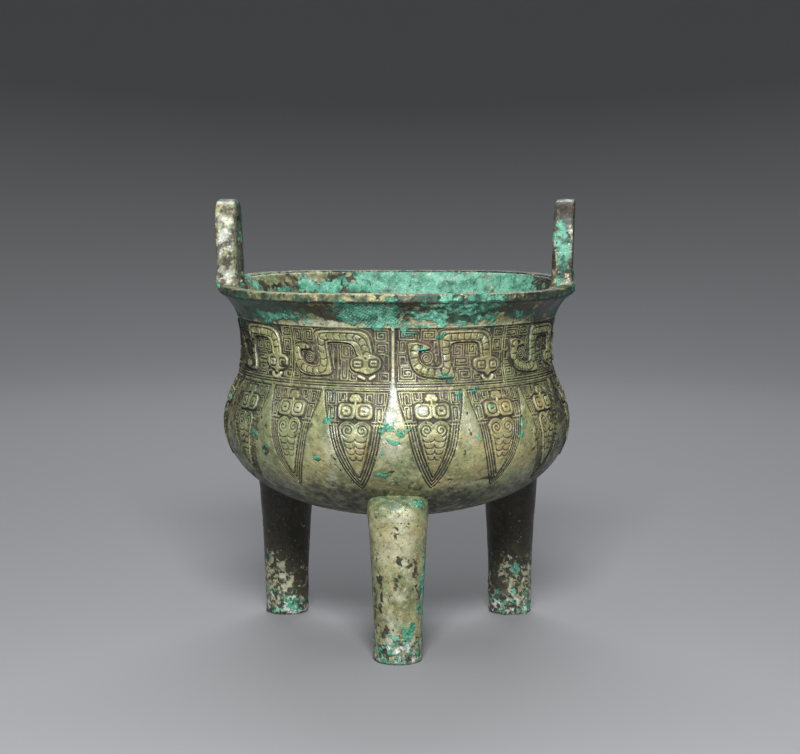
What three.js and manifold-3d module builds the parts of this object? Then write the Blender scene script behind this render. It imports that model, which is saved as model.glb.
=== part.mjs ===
// A round bronze cauldron of the ding type: a bulging bowl with a drawn-in neck and an everted lip, two upright loop
// handles on the lip, and three column legs, all cast in one piece. Nine crested serpents run round the neck, and
// fifteen pointed blades, each with a cicada, hang below them. Millimetres, +Z up, handles on the X axis, front at -Y.
import * as THREE from "three";
import { mergeVertices } from "three/addons/utils/BufferGeometryUtils.js";
import Module from "manifold-3d";

const wasm = await Module();
wasm.setup();

// Bowl. Heights are above the floor, radii from the bowl's axis.
const LIP_RADIUS = 86;
const LIP_TOP = 170.5;
const LIP_FACE = 3.9; // height of the lip's upright outer face
const MOUTH_RADIUS = 79.5; // inner edge of the lip's flat top
const NECK_RADIUS = 74.6;
const NECK_HEIGHT = 138;
const BELLY_RADIUS = 83.6;
const BELLY_HEIGHT = 104;
const BELLY_BOTTOM = 58.5;
const WALL = 3.6;
const BELLY_TURN = 106; // distance down the wall to where the belly turns in to the flatter bottom
const SEGMENTS = 36;
const HOLLOW_SEGMENTS = 30;

// Legs: upright columns, a little wider upwards, with a flattened inner side and a rounded shoulder under the belly.
// Azimuths run from the front towards +X, in degrees. The three aren't quite alike.
const LEGS = [
  { azimuth: 0.6, reach: 65.3, foot: 11, girth: 14.1 },
  { azimuth: 119.8, reach: 66, foot: 10.7, girth: 13.7 },
  { azimuth: -121, reach: 65, foot: 10.7, girth: 13.9 },
];
const SHOULDER_HEIGHT = 69; // where a leg has its full girth
const SHOULDER_TOP = 78; // inside the wall
const SHOULDER_REACH = 9; // how far the shoulder draws in
const FOOT_ROUNDING = 1.2;
const LEG_SWELL = 1.7; // how late a leg widens
const LEG_FLAT = 0.62; // distance of the flat inner side from the column's axis, in radii
const LEG_SIDES = 14;

// Handles: upright loops with a rounded rectangular section.
const HANDLE_TOP = 210;
const HANDLE_WIDTH = 35;
const HANDLE_BAR = 8.6; // the bar's width, seen from the side of the cauldron
const HANDLE_DEPTH = 9.6; // the bar's depth, along the radius
const HANDLE_CORNER = 13; // radius of the loop's upper corners, on the outside
const HANDLE_LEAN = 1.9; // degrees outwards
const HANDLE_OUTER = 84.7; // reach of the outer face at the lip's top
const HANDLE_ROOT = 5.5; // how far the loop's ends run down into the lip
const HANDLE_ROOT_DRAW = 2.6; // how far the outer face draws in over that
// The two stand a little askew: the rear limb of each is turned towards +X by so many degrees.
const HANDLES = [
  { side: 1, askew: 6 },
  { side: -1, askew: 1.5 },
];

// Ornament. Distances down the wall are measured along it from the lip's lower edge.
const RELIEF = 1.1;
const BLADE_RELIEF = 0.5;
const EYE_RELIEF = 0.5;
const BURIED = 1.6; // how far a raised figure starts inside the wall
const SERPENTS = 9;
const BLADES = 15;
const SERPENT_BAR = 2.7; // half the width of a serpent's body
const BAND_TOP = 14.7;
const BAND_LOW = 41.6;
const LINE_RELIEF = 0.8;
const LINE_HALF = 1.1;
const BLADE_TOP = 43.2;
const BLADE_LENGTH = 50.3;

const rad = THREE.MathUtils.degToRad;
const point = (x, y) => new THREE.Vector2(x, y);

// The outside of the wall, from the middle of the bottom up to the lip's lower edge.
function outerWall() {
  const path = new THREE.CurvePath();
  const foot = point(0, BELLY_BOTTOM);
  const belly = point(BELLY_RADIUS, BELLY_HEIGHT);
  const neck = point(NECK_RADIUS, NECK_HEIGHT);
  const lip = point(LIP_RADIUS - 0.4, LIP_TOP - LIP_FACE);
  path.add(new THREE.CubicBezierCurve(foot, point(52, BELLY_BOTTOM), point(BELLY_RADIUS, 77), belly));
  path.add(new THREE.CubicBezierCurve(belly, point(BELLY_RADIUS, 115), point(NECK_RADIUS, 126.5), neck));
  path.add(new THREE.CubicBezierCurve(neck, point(NECK_RADIUS, 152), point(77.5, 161), lip));
  return path;
}

// The inside of the wall, from the middle of the bottom up to the mouth.
function innerWall() {
  const path = new THREE.CurvePath();
  const foot = point(0, BELLY_BOTTOM + WALL + 0.6);
  const belly = point(BELLY_RADIUS - WALL, BELLY_HEIGHT);
  const neck = point(NECK_RADIUS - WALL, NECK_HEIGHT);
  const mouth = point(MOUTH_RADIUS, LIP_TOP);
  path.add(new THREE.CubicBezierCurve(foot, point(50, foot.y), point(belly.x, 79), belly));
  path.add(new THREE.CubicBezierCurve(belly, point(belly.x, 114), point(neck.x, 126), neck));
  path.add(new THREE.CubicBezierCurve(neck, point(neck.x, 153), point(74, 163), mouth));
  return path;
}

// A closed geometry as a solid.
function solid(geometry) {
  const bare = new THREE.BufferGeometry().setAttribute("position", geometry.getAttribute("position"));
  bare.setIndex(geometry.index);
  const merged = mergeVertices(bare, 1e-4);
  const made = new wasm.Manifold(
    new wasm.Mesh({
      numProp: 3,
      vertProperties: merged.attributes.position.array,
      triVerts: new Uint32Array(merged.index.array),
    }),
  );
  if (made.volume() < 0) throw new Error("a closed geometry faces inwards");
  return made;
}

// A closed body through rings of points, which all hold as many points and run anticlockwise seen from the last ring.
function loft(rings) {
  const sides = rings[0].length;
  const vertices = rings.flat().flatMap((p) => [p.x, p.y, p.z]);
  const faces = [];
  for (let i = 0; i < rings.length - 1; i++) {
    for (let j = 0; j < sides; j++) {
      const a = i * sides + j;
      const b = i * sides + ((j + 1) % sides);
      faces.push(a, b, b + sides, a, b + sides, a + sides);
    }
  }
  const last = (rings.length - 1) * sides;
  for (let j = 1; j < sides - 1; j++) {
    faces.push(0, j + 1, j);
    faces.push(last, last + j, last + j + 1);
  }
  const geometry = new THREE.BufferGeometry();
  geometry.setAttribute("position", new THREE.Float32BufferAttribute(vertices, 3));
  geometry.setIndex(faces);
  return solid(geometry);
}

// The hollow, as a solid to cut away. It runs on above the mouth.
function hollow() {
  const wall = innerWall().curves.flatMap((curve, i) => curve.getPoints([4, 2, 2][i]).slice(i ? 1 : 0));
  const above = [point(MOUTH_RADIUS + 1, LIP_TOP + 2), point(0, LIP_TOP + 2)];
  return solid(new THREE.LatheGeometry([...wall, ...above], HOLLOW_SEGMENTS).rotateX(Math.PI / 2));
}

// A column's section: round outside, flat on the side that faces the bowl's axis.
function legRing(azimuth, reach, radius, height) {
  return Array.from({ length: LEG_SIDES }, (_, i) => {
    const angle = (2 * Math.PI * i) / LEG_SIDES;
    const outward = Math.max(-LEG_FLAT * radius, radius * Math.cos(angle));
    const p = new THREE.Vector3(radius * Math.sin(angle), -reach - outward, height);
    return p.applyAxisAngle(new THREE.Vector3(0, 0, 1), rad(azimuth));
  });
}

function leg({ azimuth, reach, foot, girth }) {
  const radius = (height) => foot + (girth - foot) * Math.pow(height / SHOULDER_HEIGHT, LEG_SWELL);
  const column = [FOOT_ROUNDING, SHOULDER_HEIGHT * 0.45, SHOULDER_HEIGHT * 0.8, SHOULDER_HEIGHT];
  const shoulder = [0.6, 1].map((t) => {
    const drawn = 1 - Math.sqrt(1 - t * t);
    const height = SHOULDER_HEIGHT + (SHOULDER_TOP - SHOULDER_HEIGHT) * t;
    return legRing(azimuth, reach - SHOULDER_REACH * drawn, girth - 2 * drawn, height);
  });
  return loft([
    legRing(azimuth, reach, foot - FOOT_ROUNDING, 0),
    legRing(azimuth, reach, foot - FOOT_ROUNDING * 0.3, FOOT_ROUNDING * 0.3),
    ...column.map((height) => legRing(azimuth, reach, radius(height), height)),
    ...shoulder,
  ]);
}

// The middle line of a handle's bar, in the loop's own plane: up one limb, over and down the other.
function loopPath() {
  const half = (HANDLE_WIDTH - HANDLE_BAR) / 2;
  const corner = HANDLE_CORNER - HANDLE_BAR / 2;
  const top = HANDLE_TOP - HANDLE_BAR / 2;
  const places = [
    { p: point(-half + 0.8, LIP_TOP - HANDLE_ROOT), facing: Math.PI },
    { p: point(-half, LIP_TOP - 0.5), facing: Math.PI },
  ];
  const turns = 4;
  for (const [side, from] of [[-1, Math.PI], [1, Math.PI / 2]]) {
    for (let i = 0; i <= turns; i++) {
      const facing = from - (Math.PI / 2) * (i / turns);
      const centre = point(side * (half - corner), top - corner);
      places.push({ p: centre.add(point(Math.cos(facing), Math.sin(facing)).multiplyScalar(corner)), facing });
    }
  }
  places.push({ p: point(half, LIP_TOP - 0.5), facing: 0 });
  places.push({ p: point(half - 0.8, LIP_TOP - HANDLE_ROOT), facing: 0 });
  return places;
}

// A handle on the side that side names: 1 for +X, -1 for -X.
function handle({ side, askew }) {
  const halfBar = HANDLE_BAR / 2;
  const depth = HANDLE_DEPTH;
  // The bar's section: away is out of the loop, in is from its outer face towards the bowl's axis.
  const section = [
    [-halfBar, 0],
    [-halfBar, depth - 1],
    [-halfBar + 1, depth],
    [halfBar - 2, depth],
    [halfBar, depth - 3],
    [halfBar - 0.3, 0.9],
    [halfBar - 1.2, 0],
  ];
  const rings = loopPath().map(({ p, facing }) => {
    const root = Math.max(0, LIP_TOP - 0.5 - p.y) / HANDLE_ROOT;
    return section.map(([away, inward]) => {
      const along = p.x + away * Math.cos(facing);
      const height = p.y + away * Math.sin(facing);
      const outer = HANDLE_OUTER + (height - LIP_TOP) * Math.tan(rad(HANDLE_LEAN)) - root * HANDLE_ROOT_DRAW;
      const turned = side * along * Math.tan(rad(askew));
      return new THREE.Vector3(side * (outer - inward) + turned, side * along, height);
    });
  });
  return loft(rings);
}

const skin = outerWall();
const skinLength = skin.getLength();

// A place on the outside of the wall: an angle from the front, a distance down the wall, and a height above it.
function onWall(angle, down, lift) {
  const along = 1 - down / skinLength;
  const p = skin.getPointAt(along);
  const t = skin.getTangentAt(along);
  const reach = p.x + t.y * lift;
  return new THREE.Vector3(reach * Math.sin(angle), -reach * Math.cos(angle), p.y - t.x * lift);
}

// Count places from one distance down the wall to another, with the second left out.
const steps = (from, to, count) => Array.from({ length: count }, (_, i) => [from + ((to - from) * i) / count, 0]);

// A border line round the wall: up to its crest and down again.
const borderLine = (down) => [[down - LINE_HALF, 0], [down, LINE_RELIEF], [down + LINE_HALF, 0]];

// The bowl, solid, turned from its outside outline.
function bowlOutside() {
  const places = [
    ...steps(0, BAND_TOP - LINE_HALF, 2),
    ...borderLine(BAND_TOP),
    ...steps(BAND_TOP + LINE_HALF, BAND_LOW - LINE_HALF, 3).slice(1),
    ...borderLine(BAND_LOW),
    ...steps(BAND_LOW + LINE_HALF, BELLY_TURN, 7).slice(1),
    ...steps(BELLY_TURN, skinLength, 3),
    [skinLength, 0],
  ];
  const wall = places.reverse().map(([down, lift]) => {
    const p = onWall(0, down, lift);
    return point(Math.abs(p.y), p.z);
  });
  wall[0].x = 0;
  const edge = [point(LIP_RADIUS, LIP_TOP - LIP_FACE + 0.6), point(LIP_RADIUS, LIP_TOP - 0.5)];
  const top = [point(LIP_RADIUS - 0.6, LIP_TOP), point(0, LIP_TOP)];
  return solid(new THREE.LatheGeometry([...wall, ...edge, ...top], SEGMENTS).rotateX(Math.PI / 2));
}

// A raised bar along a line of [degrees, distance down, half width], on the wall.
function bar(line, offset, lift) {
  const perDegree = rad(1) * NECK_RADIUS;
  const flat = line.map(([a, down]) => point(a * perDegree, down));
  const rings = line.map(([a, down, half], i) => {
    const before = flat[Math.max(0, i - 1)];
    const after = flat[Math.min(line.length - 1, i + 1)];
    const across = after.clone().sub(before).normalize().rotateAround(point(0, 0), Math.PI / 2).multiplyScalar(half);
    const left = [rad(offset + a - across.x / perDegree), down - across.y];
    const right = [rad(offset + a + across.x / perDegree), down + across.y];
    return [
      onWall(...left, lift),
      onWall(...right, lift),
      onWall(...right, -BURIED),
      onWall(...left, -BURIED),
    ];
  });
  return loft(rings);
}

// A raised plate with an outline of [degrees, distance down], clockwise seen from outside, on the wall.
function plate(outline, offset, lift) {
  const rings = [-BURIED, lift].map((height) => outline.map(([a, down]) => onWall(rad(offset + a), down, height)));
  return loft(rings);
}

// An oval of sides points round [degrees, distance down].
function oval(a, down, halfAngle, halfHeight, sides = 4) {
  return Array.from({ length: sides }, (_, i) => {
    const turn = (2 * Math.PI * (i + 0.5)) / sides;
    return [a + halfAngle * Math.cos(turn), down - halfHeight * Math.sin(turn)];
  });
}

// One serpent, from its curled tail at the left to its head at the right, seen full face.
function serpent(offset) {
  const w = SERPENT_BAR;
  const top = BAND_TOP + 5.1;
  const low = BAND_TOP + 23.2;
  const body = [
    [10.8, top + 6.2, w * 0.3],
    [6.2, top + 5.6, w * 0.8],
    [4.9, top + 11, w],
    [8.4, low - 2, w],
    [15.4, low - 0.6, w],
    [16.6, top + 0.4, w],
    [23, top - 1.3, w],
    [29.6, top - 0.4, w],
    [31.6, top + 8.5, w * 0.8],
  ];
  const headTop = top + 7.4;
  const head = [
    [26.4, headTop + 1],
    [26.4, headTop + 5.4],
    [28.6, headTop + 7.4],
    [31.7, headTop + 9.4],
    [34.8, headTop + 7.4],
    [37, headTop + 5.4],
    [37, headTop + 1],
    [31.7, headTop - 0.8],
  ];
  const eyes = [29, 34.4].map((a) => oval(a, headTop + 3.8, 1.7, 2));
  return [
    bar(body, offset, RELIEF),
    plate(head, offset, RELIEF),
    ...eyes.map((eye) => plate(eye, offset, RELIEF + EYE_RELIEF)),
  ];
}

// One hanging blade: a raised tongue, and the cicada on it.
function blade(offset) {
  const reach = (t) => 10.8 * Math.pow(1 - t, 0.62) * (1 - 0.12 * t); // half width in degrees
  const tongue = [0, 0.2, 0.4, 0.6, 0.8, 0.985].map((t) => {
    const down = BLADE_TOP + BLADE_LENGTH * t;
    const corner = (side, height) => onWall(rad(offset + side * reach(t)), down, height);
    const section = [corner(1, -BURIED), corner(1, BLADE_RELIEF), corner(0, BLADE_RELIEF), corner(-1, BLADE_RELIEF)];
    return [...section, corner(-1, -BURIED)];
  });
  const eyes = [-2.7, 2.7].map((a) => plate(oval(a, BLADE_TOP + 9.6, 2.6, 3.4), offset, RELIEF + EYE_RELIEF));
  const body = [
    [0, BLADE_TOP + 14.8, 6],
    [0, BLADE_TOP + 23, 5.6],
    [0, BLADE_TOP + 31, 3.6],
    [0, BLADE_TOP + 39, 0.8],
  ];
  return [loft(tongue), ...eyes, bar(body, offset, RELIEF)];
}

function cauldron() {
  const serpents = Array.from({ length: SERPENTS }, (_, i) => serpent(1 + (360 / SERPENTS) * i)).flat();
  const blades = Array.from({ length: BLADES }, (_, i) => blade((360 / BLADES) * (i + 0.5))).flat();
  const legs = LEGS.map(leg);
  const bowl = wasm.Manifold.union([bowlOutside(), ...legs]).subtract(hollow());
  return wasm.Manifold.union([bowl, ...HANDLES.map(handle), ...serpents, ...blades]);
}

// A solid as a named mesh.
function mesh(name, made, material) {
  const { numProp, vertProperties, triVerts, numVert } = made.getMesh();
  const vertices = new Float32Array(numVert * 3);
  for (let i = 0; i < numVert; i++) vertices.set(vertProperties.subarray(i * numProp, i * numProp + 3), i * 3);
  const geometry = new THREE.BufferGeometry();
  geometry.setAttribute("position", new THREE.BufferAttribute(vertices, 3));
  geometry.setIndex(new THREE.BufferAttribute(triVerts, 1));
  geometry.computeVertexNormals();
  const made3d = new THREE.Mesh(geometry, material);
  made3d.name = name;
  return made3d;
}

const patinatedBronze = new THREE.MeshStandardMaterial({ color: 0x8d906b, roughness: 0.55, metalness: 0.6 });

const ding = new THREE.Group();
ding.add(mesh("cauldron", cauldron(), patinatedBronze));

export default ding;
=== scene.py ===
import itertools
import math

import bpy
import numpy as np
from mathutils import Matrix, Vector


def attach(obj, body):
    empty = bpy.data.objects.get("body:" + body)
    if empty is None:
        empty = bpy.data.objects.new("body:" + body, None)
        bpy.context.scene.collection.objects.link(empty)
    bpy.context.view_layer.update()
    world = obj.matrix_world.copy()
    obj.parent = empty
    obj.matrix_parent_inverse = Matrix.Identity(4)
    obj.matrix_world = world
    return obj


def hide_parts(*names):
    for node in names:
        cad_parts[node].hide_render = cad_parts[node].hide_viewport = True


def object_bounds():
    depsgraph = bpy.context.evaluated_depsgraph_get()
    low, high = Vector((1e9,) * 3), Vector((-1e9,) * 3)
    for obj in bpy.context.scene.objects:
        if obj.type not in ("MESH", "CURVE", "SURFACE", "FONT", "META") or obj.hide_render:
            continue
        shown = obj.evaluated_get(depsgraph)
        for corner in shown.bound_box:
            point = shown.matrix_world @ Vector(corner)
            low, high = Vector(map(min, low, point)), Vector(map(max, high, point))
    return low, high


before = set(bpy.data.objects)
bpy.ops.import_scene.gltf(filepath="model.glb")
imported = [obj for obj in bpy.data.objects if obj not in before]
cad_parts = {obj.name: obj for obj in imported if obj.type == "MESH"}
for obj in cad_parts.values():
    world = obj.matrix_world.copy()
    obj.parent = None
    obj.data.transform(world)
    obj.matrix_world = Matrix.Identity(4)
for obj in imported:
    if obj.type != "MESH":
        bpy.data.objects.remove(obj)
cad_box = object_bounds()

MM = 0.001
NODE = "cauldron"

# The bowl's form, as the CAD solid has it.
LIP_RADIUS, LIP_TOP, LIP_FACE, MOUTH_RADIUS = 86.0, 170.5, 3.9, 79.5
NECK_RADIUS, NECK_HEIGHT = 74.6, 138.0
BELLY_RADIUS, BELLY_HEIGHT, BELLY_BOTTOM = 83.6, 104.0, 58.5
WALL = 3.6
WARP = 1.1  # the mouth stands this much higher behind the handles, and lower before them
# Legs: azimuth from the front, reach, radius at the foot, radius at the shoulder, seed.
LEGS = {
    "front": (0.6, 65.3, 11.0, 14.1, 71),
    "right": (119.8, 66.0, 10.7, 13.7, 81),
    "left": (-121.0, 65.0, 10.7, 13.9, 91),
}
SHOULDER_HEIGHT, SHOULDER_TOP, SHOULDER_REACH = 69.0, 78.0, 9.0
FOOT_ROUNDING, LEG_SWELL, LEG_FLAT = 1.2, 1.7, 0.62
# Handles: side, degrees askew, seed.
HANDLES = {"right": (1, 6.0, 101), "left": (-1, 1.5, 111)}
HANDLE_TOP, HANDLE_WIDTH, HANDLE_BAR, HANDLE_DEPTH, HANDLE_CORNER = 210.0, 35.0, 8.6, 9.6, 13.0
HANDLE_LEAN, HANDLE_OUTER, HANDLE_ROOT, HANDLE_ROOT_DRAW = 1.9, 84.7, 5.5, 2.6

# Ornament: distances down the wall are measured from the lip's top edge.
BAND = (18.2, 47.6)
UNIT = 40.0  # degrees taken by one serpent
FIRST_UNIT = 1.0
WALL_END = 98.2  # where the carved wall passes into the plain underside
SEAM = -1.2  # degrees, of the mould's seam at the front
# The blades: degrees from the front, breadth against the middle ones, and degrees that the tip leans.
BLADES = (
    (11.5, 1.0, 0.6), (35.3, 0.97, 0.1), (57.2, 0.88, 0.8), (81.5, 0.95, -0.6), (106.0, 1.0, 0.4),
    (132.0, 1.0, -0.5), (156.3, 1.0, 0.7), (180.0, 0.98, 0.0), (203.8, 1.0, -0.8), (227.6, 1.0, 0.5),
    (-106.6, 1.0, -0.4), (-82.4, 0.97, 0.6), (-58.3, 0.86, 1.0), (-36.3, 0.90, 0.1), (-13.6, 1.0, 1.7),
)
# Half the width of a blade and of the cicada in it, at distances down the wall.
BLADE_DOWN = (47, 50, 55, 61.8, 64, 70, 75, 80, 85, 89, 92.5, 95.5, 97.8)
BLADE_HALF = (16.0, 15.9, 15.3, 13.8, 13.0, 12.0, 10.9, 9.2, 7.2, 5.4, 3.6, 1.8, 0.0)
CICADA_DOWN = (61.9, 62.8, 64.5, 69, 73, 77, 81, 85, 88.8)
CICADA_HALF = (5.8, 7.2, 7.5, 6.7, 5.7, 4.6, 3.3, 1.8, 0.0)
BAR_TONE, PLAIN_TONE = 0.70, 0.62


# ---------------------------------------------------------------- noise and small helpers


def unit(x):
    return np.clip(x, 0.0, 1.0)


def smooth(a, b, x):
    """An S-shaped step from 0 at a to 1 at b."""
    t = unit((x - a) / (b - a))
    return t * t * (3.0 - 2.0 * t)


def fall(a, b, x):
    return 1 - smooth(a, b, x)


def turned(degrees):
    """Degrees from the nearest whole turn."""
    return (degrees + 180) % 360 - 180


def lattice(i, j, k, seed):
    """A repeatable random number, from 0 to 1, for each point of a lattice."""
    h = (i * 374761393 + j * 668265263 + k * 1440662683 + seed * 1274126177) & 0xFFFFFFFF
    h = ((h ^ (h >> 13)) * 1274126177) & 0xFFFFFFFF
    h = ((h ^ (h >> 15)) * 2246822519) & 0xFFFFFFFF
    return ((h ^ (h >> 16)) & 0xFFFF) / 65535.0


def noise(p, size, seed):
    """Smooth noise from 0 to 1, in cells of the given size."""
    q = p / size
    base = np.floor(q).astype(np.int64)
    f = q - base
    f = f * f * (3.0 - 2.0 * f)
    total = 0.0
    for corner in itertools.product((0, 1), repeat=3):
        u, v, w = (f[..., i] if high else 1 - f[..., i] for i, high in enumerate(corner))
        total = total + u * v * w * lattice(*(base[..., i] + high for i, high in enumerate(corner)), seed)
    return total


def fractal(p, size, seed, octaves=4):
    """Noise at several sizes, each half the last."""
    total, amount, weight = 0.0, 0.5, 0.0
    for o in range(octaves):
        total = total + amount * noise(p, size / 2**o, seed + 17 * o)
        weight += amount
        amount *= 0.55
    return total / weight


def grain(p, size, seed, octaves=4):
    """Noise about zero, mostly between -0.5 and 0.5."""
    return np.clip((fractal(p, size, seed, octaves) - 0.5) * 1.9, -0.5, 0.5)


def along_line(x, y, points):
    """Distance to a line, and the length along it of the nearest point."""
    best = np.full(np.broadcast(x, y).shape, 1e9)
    along = np.zeros_like(best)
    run = 0.0
    for a, b in zip(points, points[1:]):
        dx, dy = b[0] - a[0], b[1] - a[1]
        t = unit(((x - a[0]) * dx + (y - a[1]) * dy) / (dx * dx + dy * dy + 1e-12))
        d = np.hypot(x - a[0] - t * dx, y - a[1] - t * dy)
        length = math.hypot(dx, dy)
        along = np.where(d < best, run + t * length, along)
        best = np.minimum(best, d)
        run += length
    return best, along


def line_distance(x, y, points):
    return along_line(x, y, points)[0]


def inside_distance(x, y, outline):
    """Distance to a closed outline, positive inside it."""
    ring = list(outline) + [outline[0]]
    d = line_distance(x, y, ring)
    odd = np.zeros(d.shape, bool)
    for a, b in zip(ring, ring[1:]):
        if a[1] != b[1]:
            odd ^= ((a[1] > y) != (b[1] > y)) & (x < (b[0] - a[0]) * (y - a[1]) / (b[1] - a[1]) + a[0])
    return np.where(odd, d, -d)


def mirrored(xs, ys):
    """A closed outline that is the same on both sides of x = 0, from its right half, which ends on x = 0."""
    half = list(zip(xs, ys))
    return half + [(-a, b) for a, b in half[-2::-1]]


def rounded(outline, times=2, closed=True):
    """The outline with its corners cut, over and over."""
    points = [np.array(p, float) for p in outline]
    for _ in range(times):
        pairs = zip(points, points[1:] + points[:1]) if closed else zip(points, points[1:])
        cut_off = [q for a, b in pairs for q in (a * 0.75 + b * 0.25, a * 0.25 + b * 0.75)]
        points = cut_off if closed else [points[0]] + cut_off + [points[-1]]
    return [tuple(p) for p in points]


def box_distance(x, y, cx, cy, hx, hy, r):
    """Distance to a rounded rectangle, positive inside it."""
    qx, qy = np.abs(x - cx) - (hx - r), np.abs(y - cy) - (hy - r)
    return -(np.hypot(np.maximum(qx, 0), np.maximum(qy, 0)) + np.minimum(np.maximum(qx, qy), 0) - r)


def spiral_in_box(x0, y0, x1, y1, pitch, flip_x=False, flip_y=False):
    """A square spiral that fills a box, from its outer corner to its middle."""
    l, t, r, b = x0, y0, x1, y1
    points = [(l, b), (l, t), (r, t), (r, b)]
    while r - l > 2.1 * pitch and b - t > 1.6 * pitch:
        l, r, b, t = l + pitch, r - pitch, b - (pitch if len(points) > 4 else 0), t + pitch
        points += [(l, b), (l, t), (r, t), (r, b - pitch)]
        if r - l < 1.2 * pitch:
            break
    return [(x0 + x1 - x if flip_x else x, y0 + y1 - y if flip_y else y) for x, y in points]


def round_spiral(cx, cy, outer, inner, turns, start, hand=1):
    n = int(20 * turns)
    points = []
    for i in range(n + 1):
        t = i / n
        r = outer + (inner - outer) * t
        a = start + hand * 2 * math.pi * turns * t
        points.append((cx + r * math.cos(a), cy + r * math.sin(a)))
    return points


# ---------------------------------------------------------------- the bowl's walls


def bezier(*corners, n=160):
    t = np.linspace(0, 1, n)[:, None]
    p0, p1, p2, p3 = (np.array(p, float) for p in corners)
    return (1 - t) ** 3 * p0 + 3 * (1 - t) ** 2 * t * p1 + 3 * (1 - t) * t * t * p2 + t**3 * p3


def bowl_line(inset, bottom, reach, pulls, top):
    """Points (radius, height) from the bottom's middle to the lip; pulls are heights that set the curves."""
    belly, neck = BELLY_RADIUS - inset, NECK_RADIUS - inset
    low, high, under, over = pulls
    return np.concatenate(
        [
            bezier((0, bottom), (reach, bottom), (belly, low), (belly, BELLY_HEIGHT)),
            bezier((belly, BELLY_HEIGHT), (belly, high), (neck, under), (neck, NECK_HEIGHT)),
            bezier((neck, NECK_HEIGHT), (neck, over), *top),
        ]
    )


class Profile:
    """A line in the half plane (radius, height), by the length along it."""

    def __init__(self, points):
        keep = np.r_[True, np.hypot(*np.diff(points, axis=0).T) > 1e-6]
        self.points = points[keep]
        self.run = np.r_[0, np.cumsum(np.hypot(*np.diff(self.points, axis=0).T))]
        self.length = self.run[-1]

    def at(self, s):
        return np.interp(s, self.run, self.points[:, 0]), np.interp(s, self.run, self.points[:, 1])

    def normal(self, s, e=0.6):
        r0, z0 = self.at(np.clip(s - e, 0, self.length))
        r1, z1 = self.at(np.clip(s + e, 0, self.length))
        n = np.hypot(r1 - r0, z1 - z0)
        return -(z1 - z0) / n, (r1 - r0) / n


outer_top = ((77.5, 161), (LIP_RADIUS - 0.4, LIP_TOP - LIP_FACE))
outer = bowl_line(0, BELLY_BOTTOM, 52, (77, 115, 126.5, 152), outer_top)
skin = Profile(outer[::-1])  # from the lip's lower edge down to the middle of the bottom
inner_top = ((74, 163), (MOUTH_RADIUS, LIP_TOP))
lining = Profile(bowl_line(WALL, BELLY_BOTTOM + WALL + 0.6, 50, (79, 114, 126, 153), inner_top))


def place(theta, r, z):
    """Points from degrees from the front, radii and heights. The mouth is warped by the handles."""
    theta, r, z = np.broadcast_arrays(np.radians(theta), r, z)
    warp = WARP * np.sin(theta) ** 2 * -np.cos(theta) / 0.385 * smooth(LIP_TOP - 18, LIP_TOP - 3, z)
    return np.stack([r * np.sin(theta), -r * np.cos(theta), z + warp], axis=-1)


def wall_points(theta, s, lift=0.0):
    r, z = skin.at(s - LIP_FACE)
    nr, nz = skin.normal(s - LIP_FACE)
    return place(theta, r + nr * lift, z + nz * lift)


# ---------------------------------------------------------------- the ornament, as a height over the wall

DT, STEP = 0.25, 0.35
COLS = int(360 / DT)
THETA = -180 + DT * np.arange(COLS)
ROWS = np.arange(BAND[0], WALL_END, STEP)
PER_DEGREE = np.radians(1) * skin.at(ROWS - LIP_FACE)[0]  # mm along the wall for a degree, row by row
GROUND = -0.42

height = np.zeros((len(ROWS), COLS))
tone = np.full_like(height, PLAIN_TONE)  # 0 in the bottom of a groove, 1 on the crest of a raised line


def window(t0, t1, s0, s1):
    """Part of the wall: its place in the arrays, then degrees, mm down and mm for a degree."""
    j = np.arange(math.floor((t0 + 180) / DT), math.ceil((t1 + 180) / DT) + 1)
    i = np.nonzero((ROWS >= s0) & (ROWS <= s1))[0]
    return np.ix_(i, j % COLS), (-180 + DT * j)[None, :], ROWS[i][:, None], PER_DEGREE[i][:, None]


def ridge(d, half=0.17):
    return fall(half - 0.14, half + 0.26, d)


def lay(where, amount, level, shade):
    height[where] = height[where] * (1 - amount) + level * amount
    tone[where] = tone[where] * (1 - amount) + shade * amount


def cut(where, amount, depth, shade=0.08):
    height[where] -= amount * depth
    tone[where] = tone[where] * (1 - amount) + shade * amount


def raise_lines(where, amount, level=0.02, shade=0.92):
    height[where] = np.maximum(height[where], GROUND + (level - GROUND) * amount)
    tone[where] = np.maximum(tone[where], shade * amount)


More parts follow.
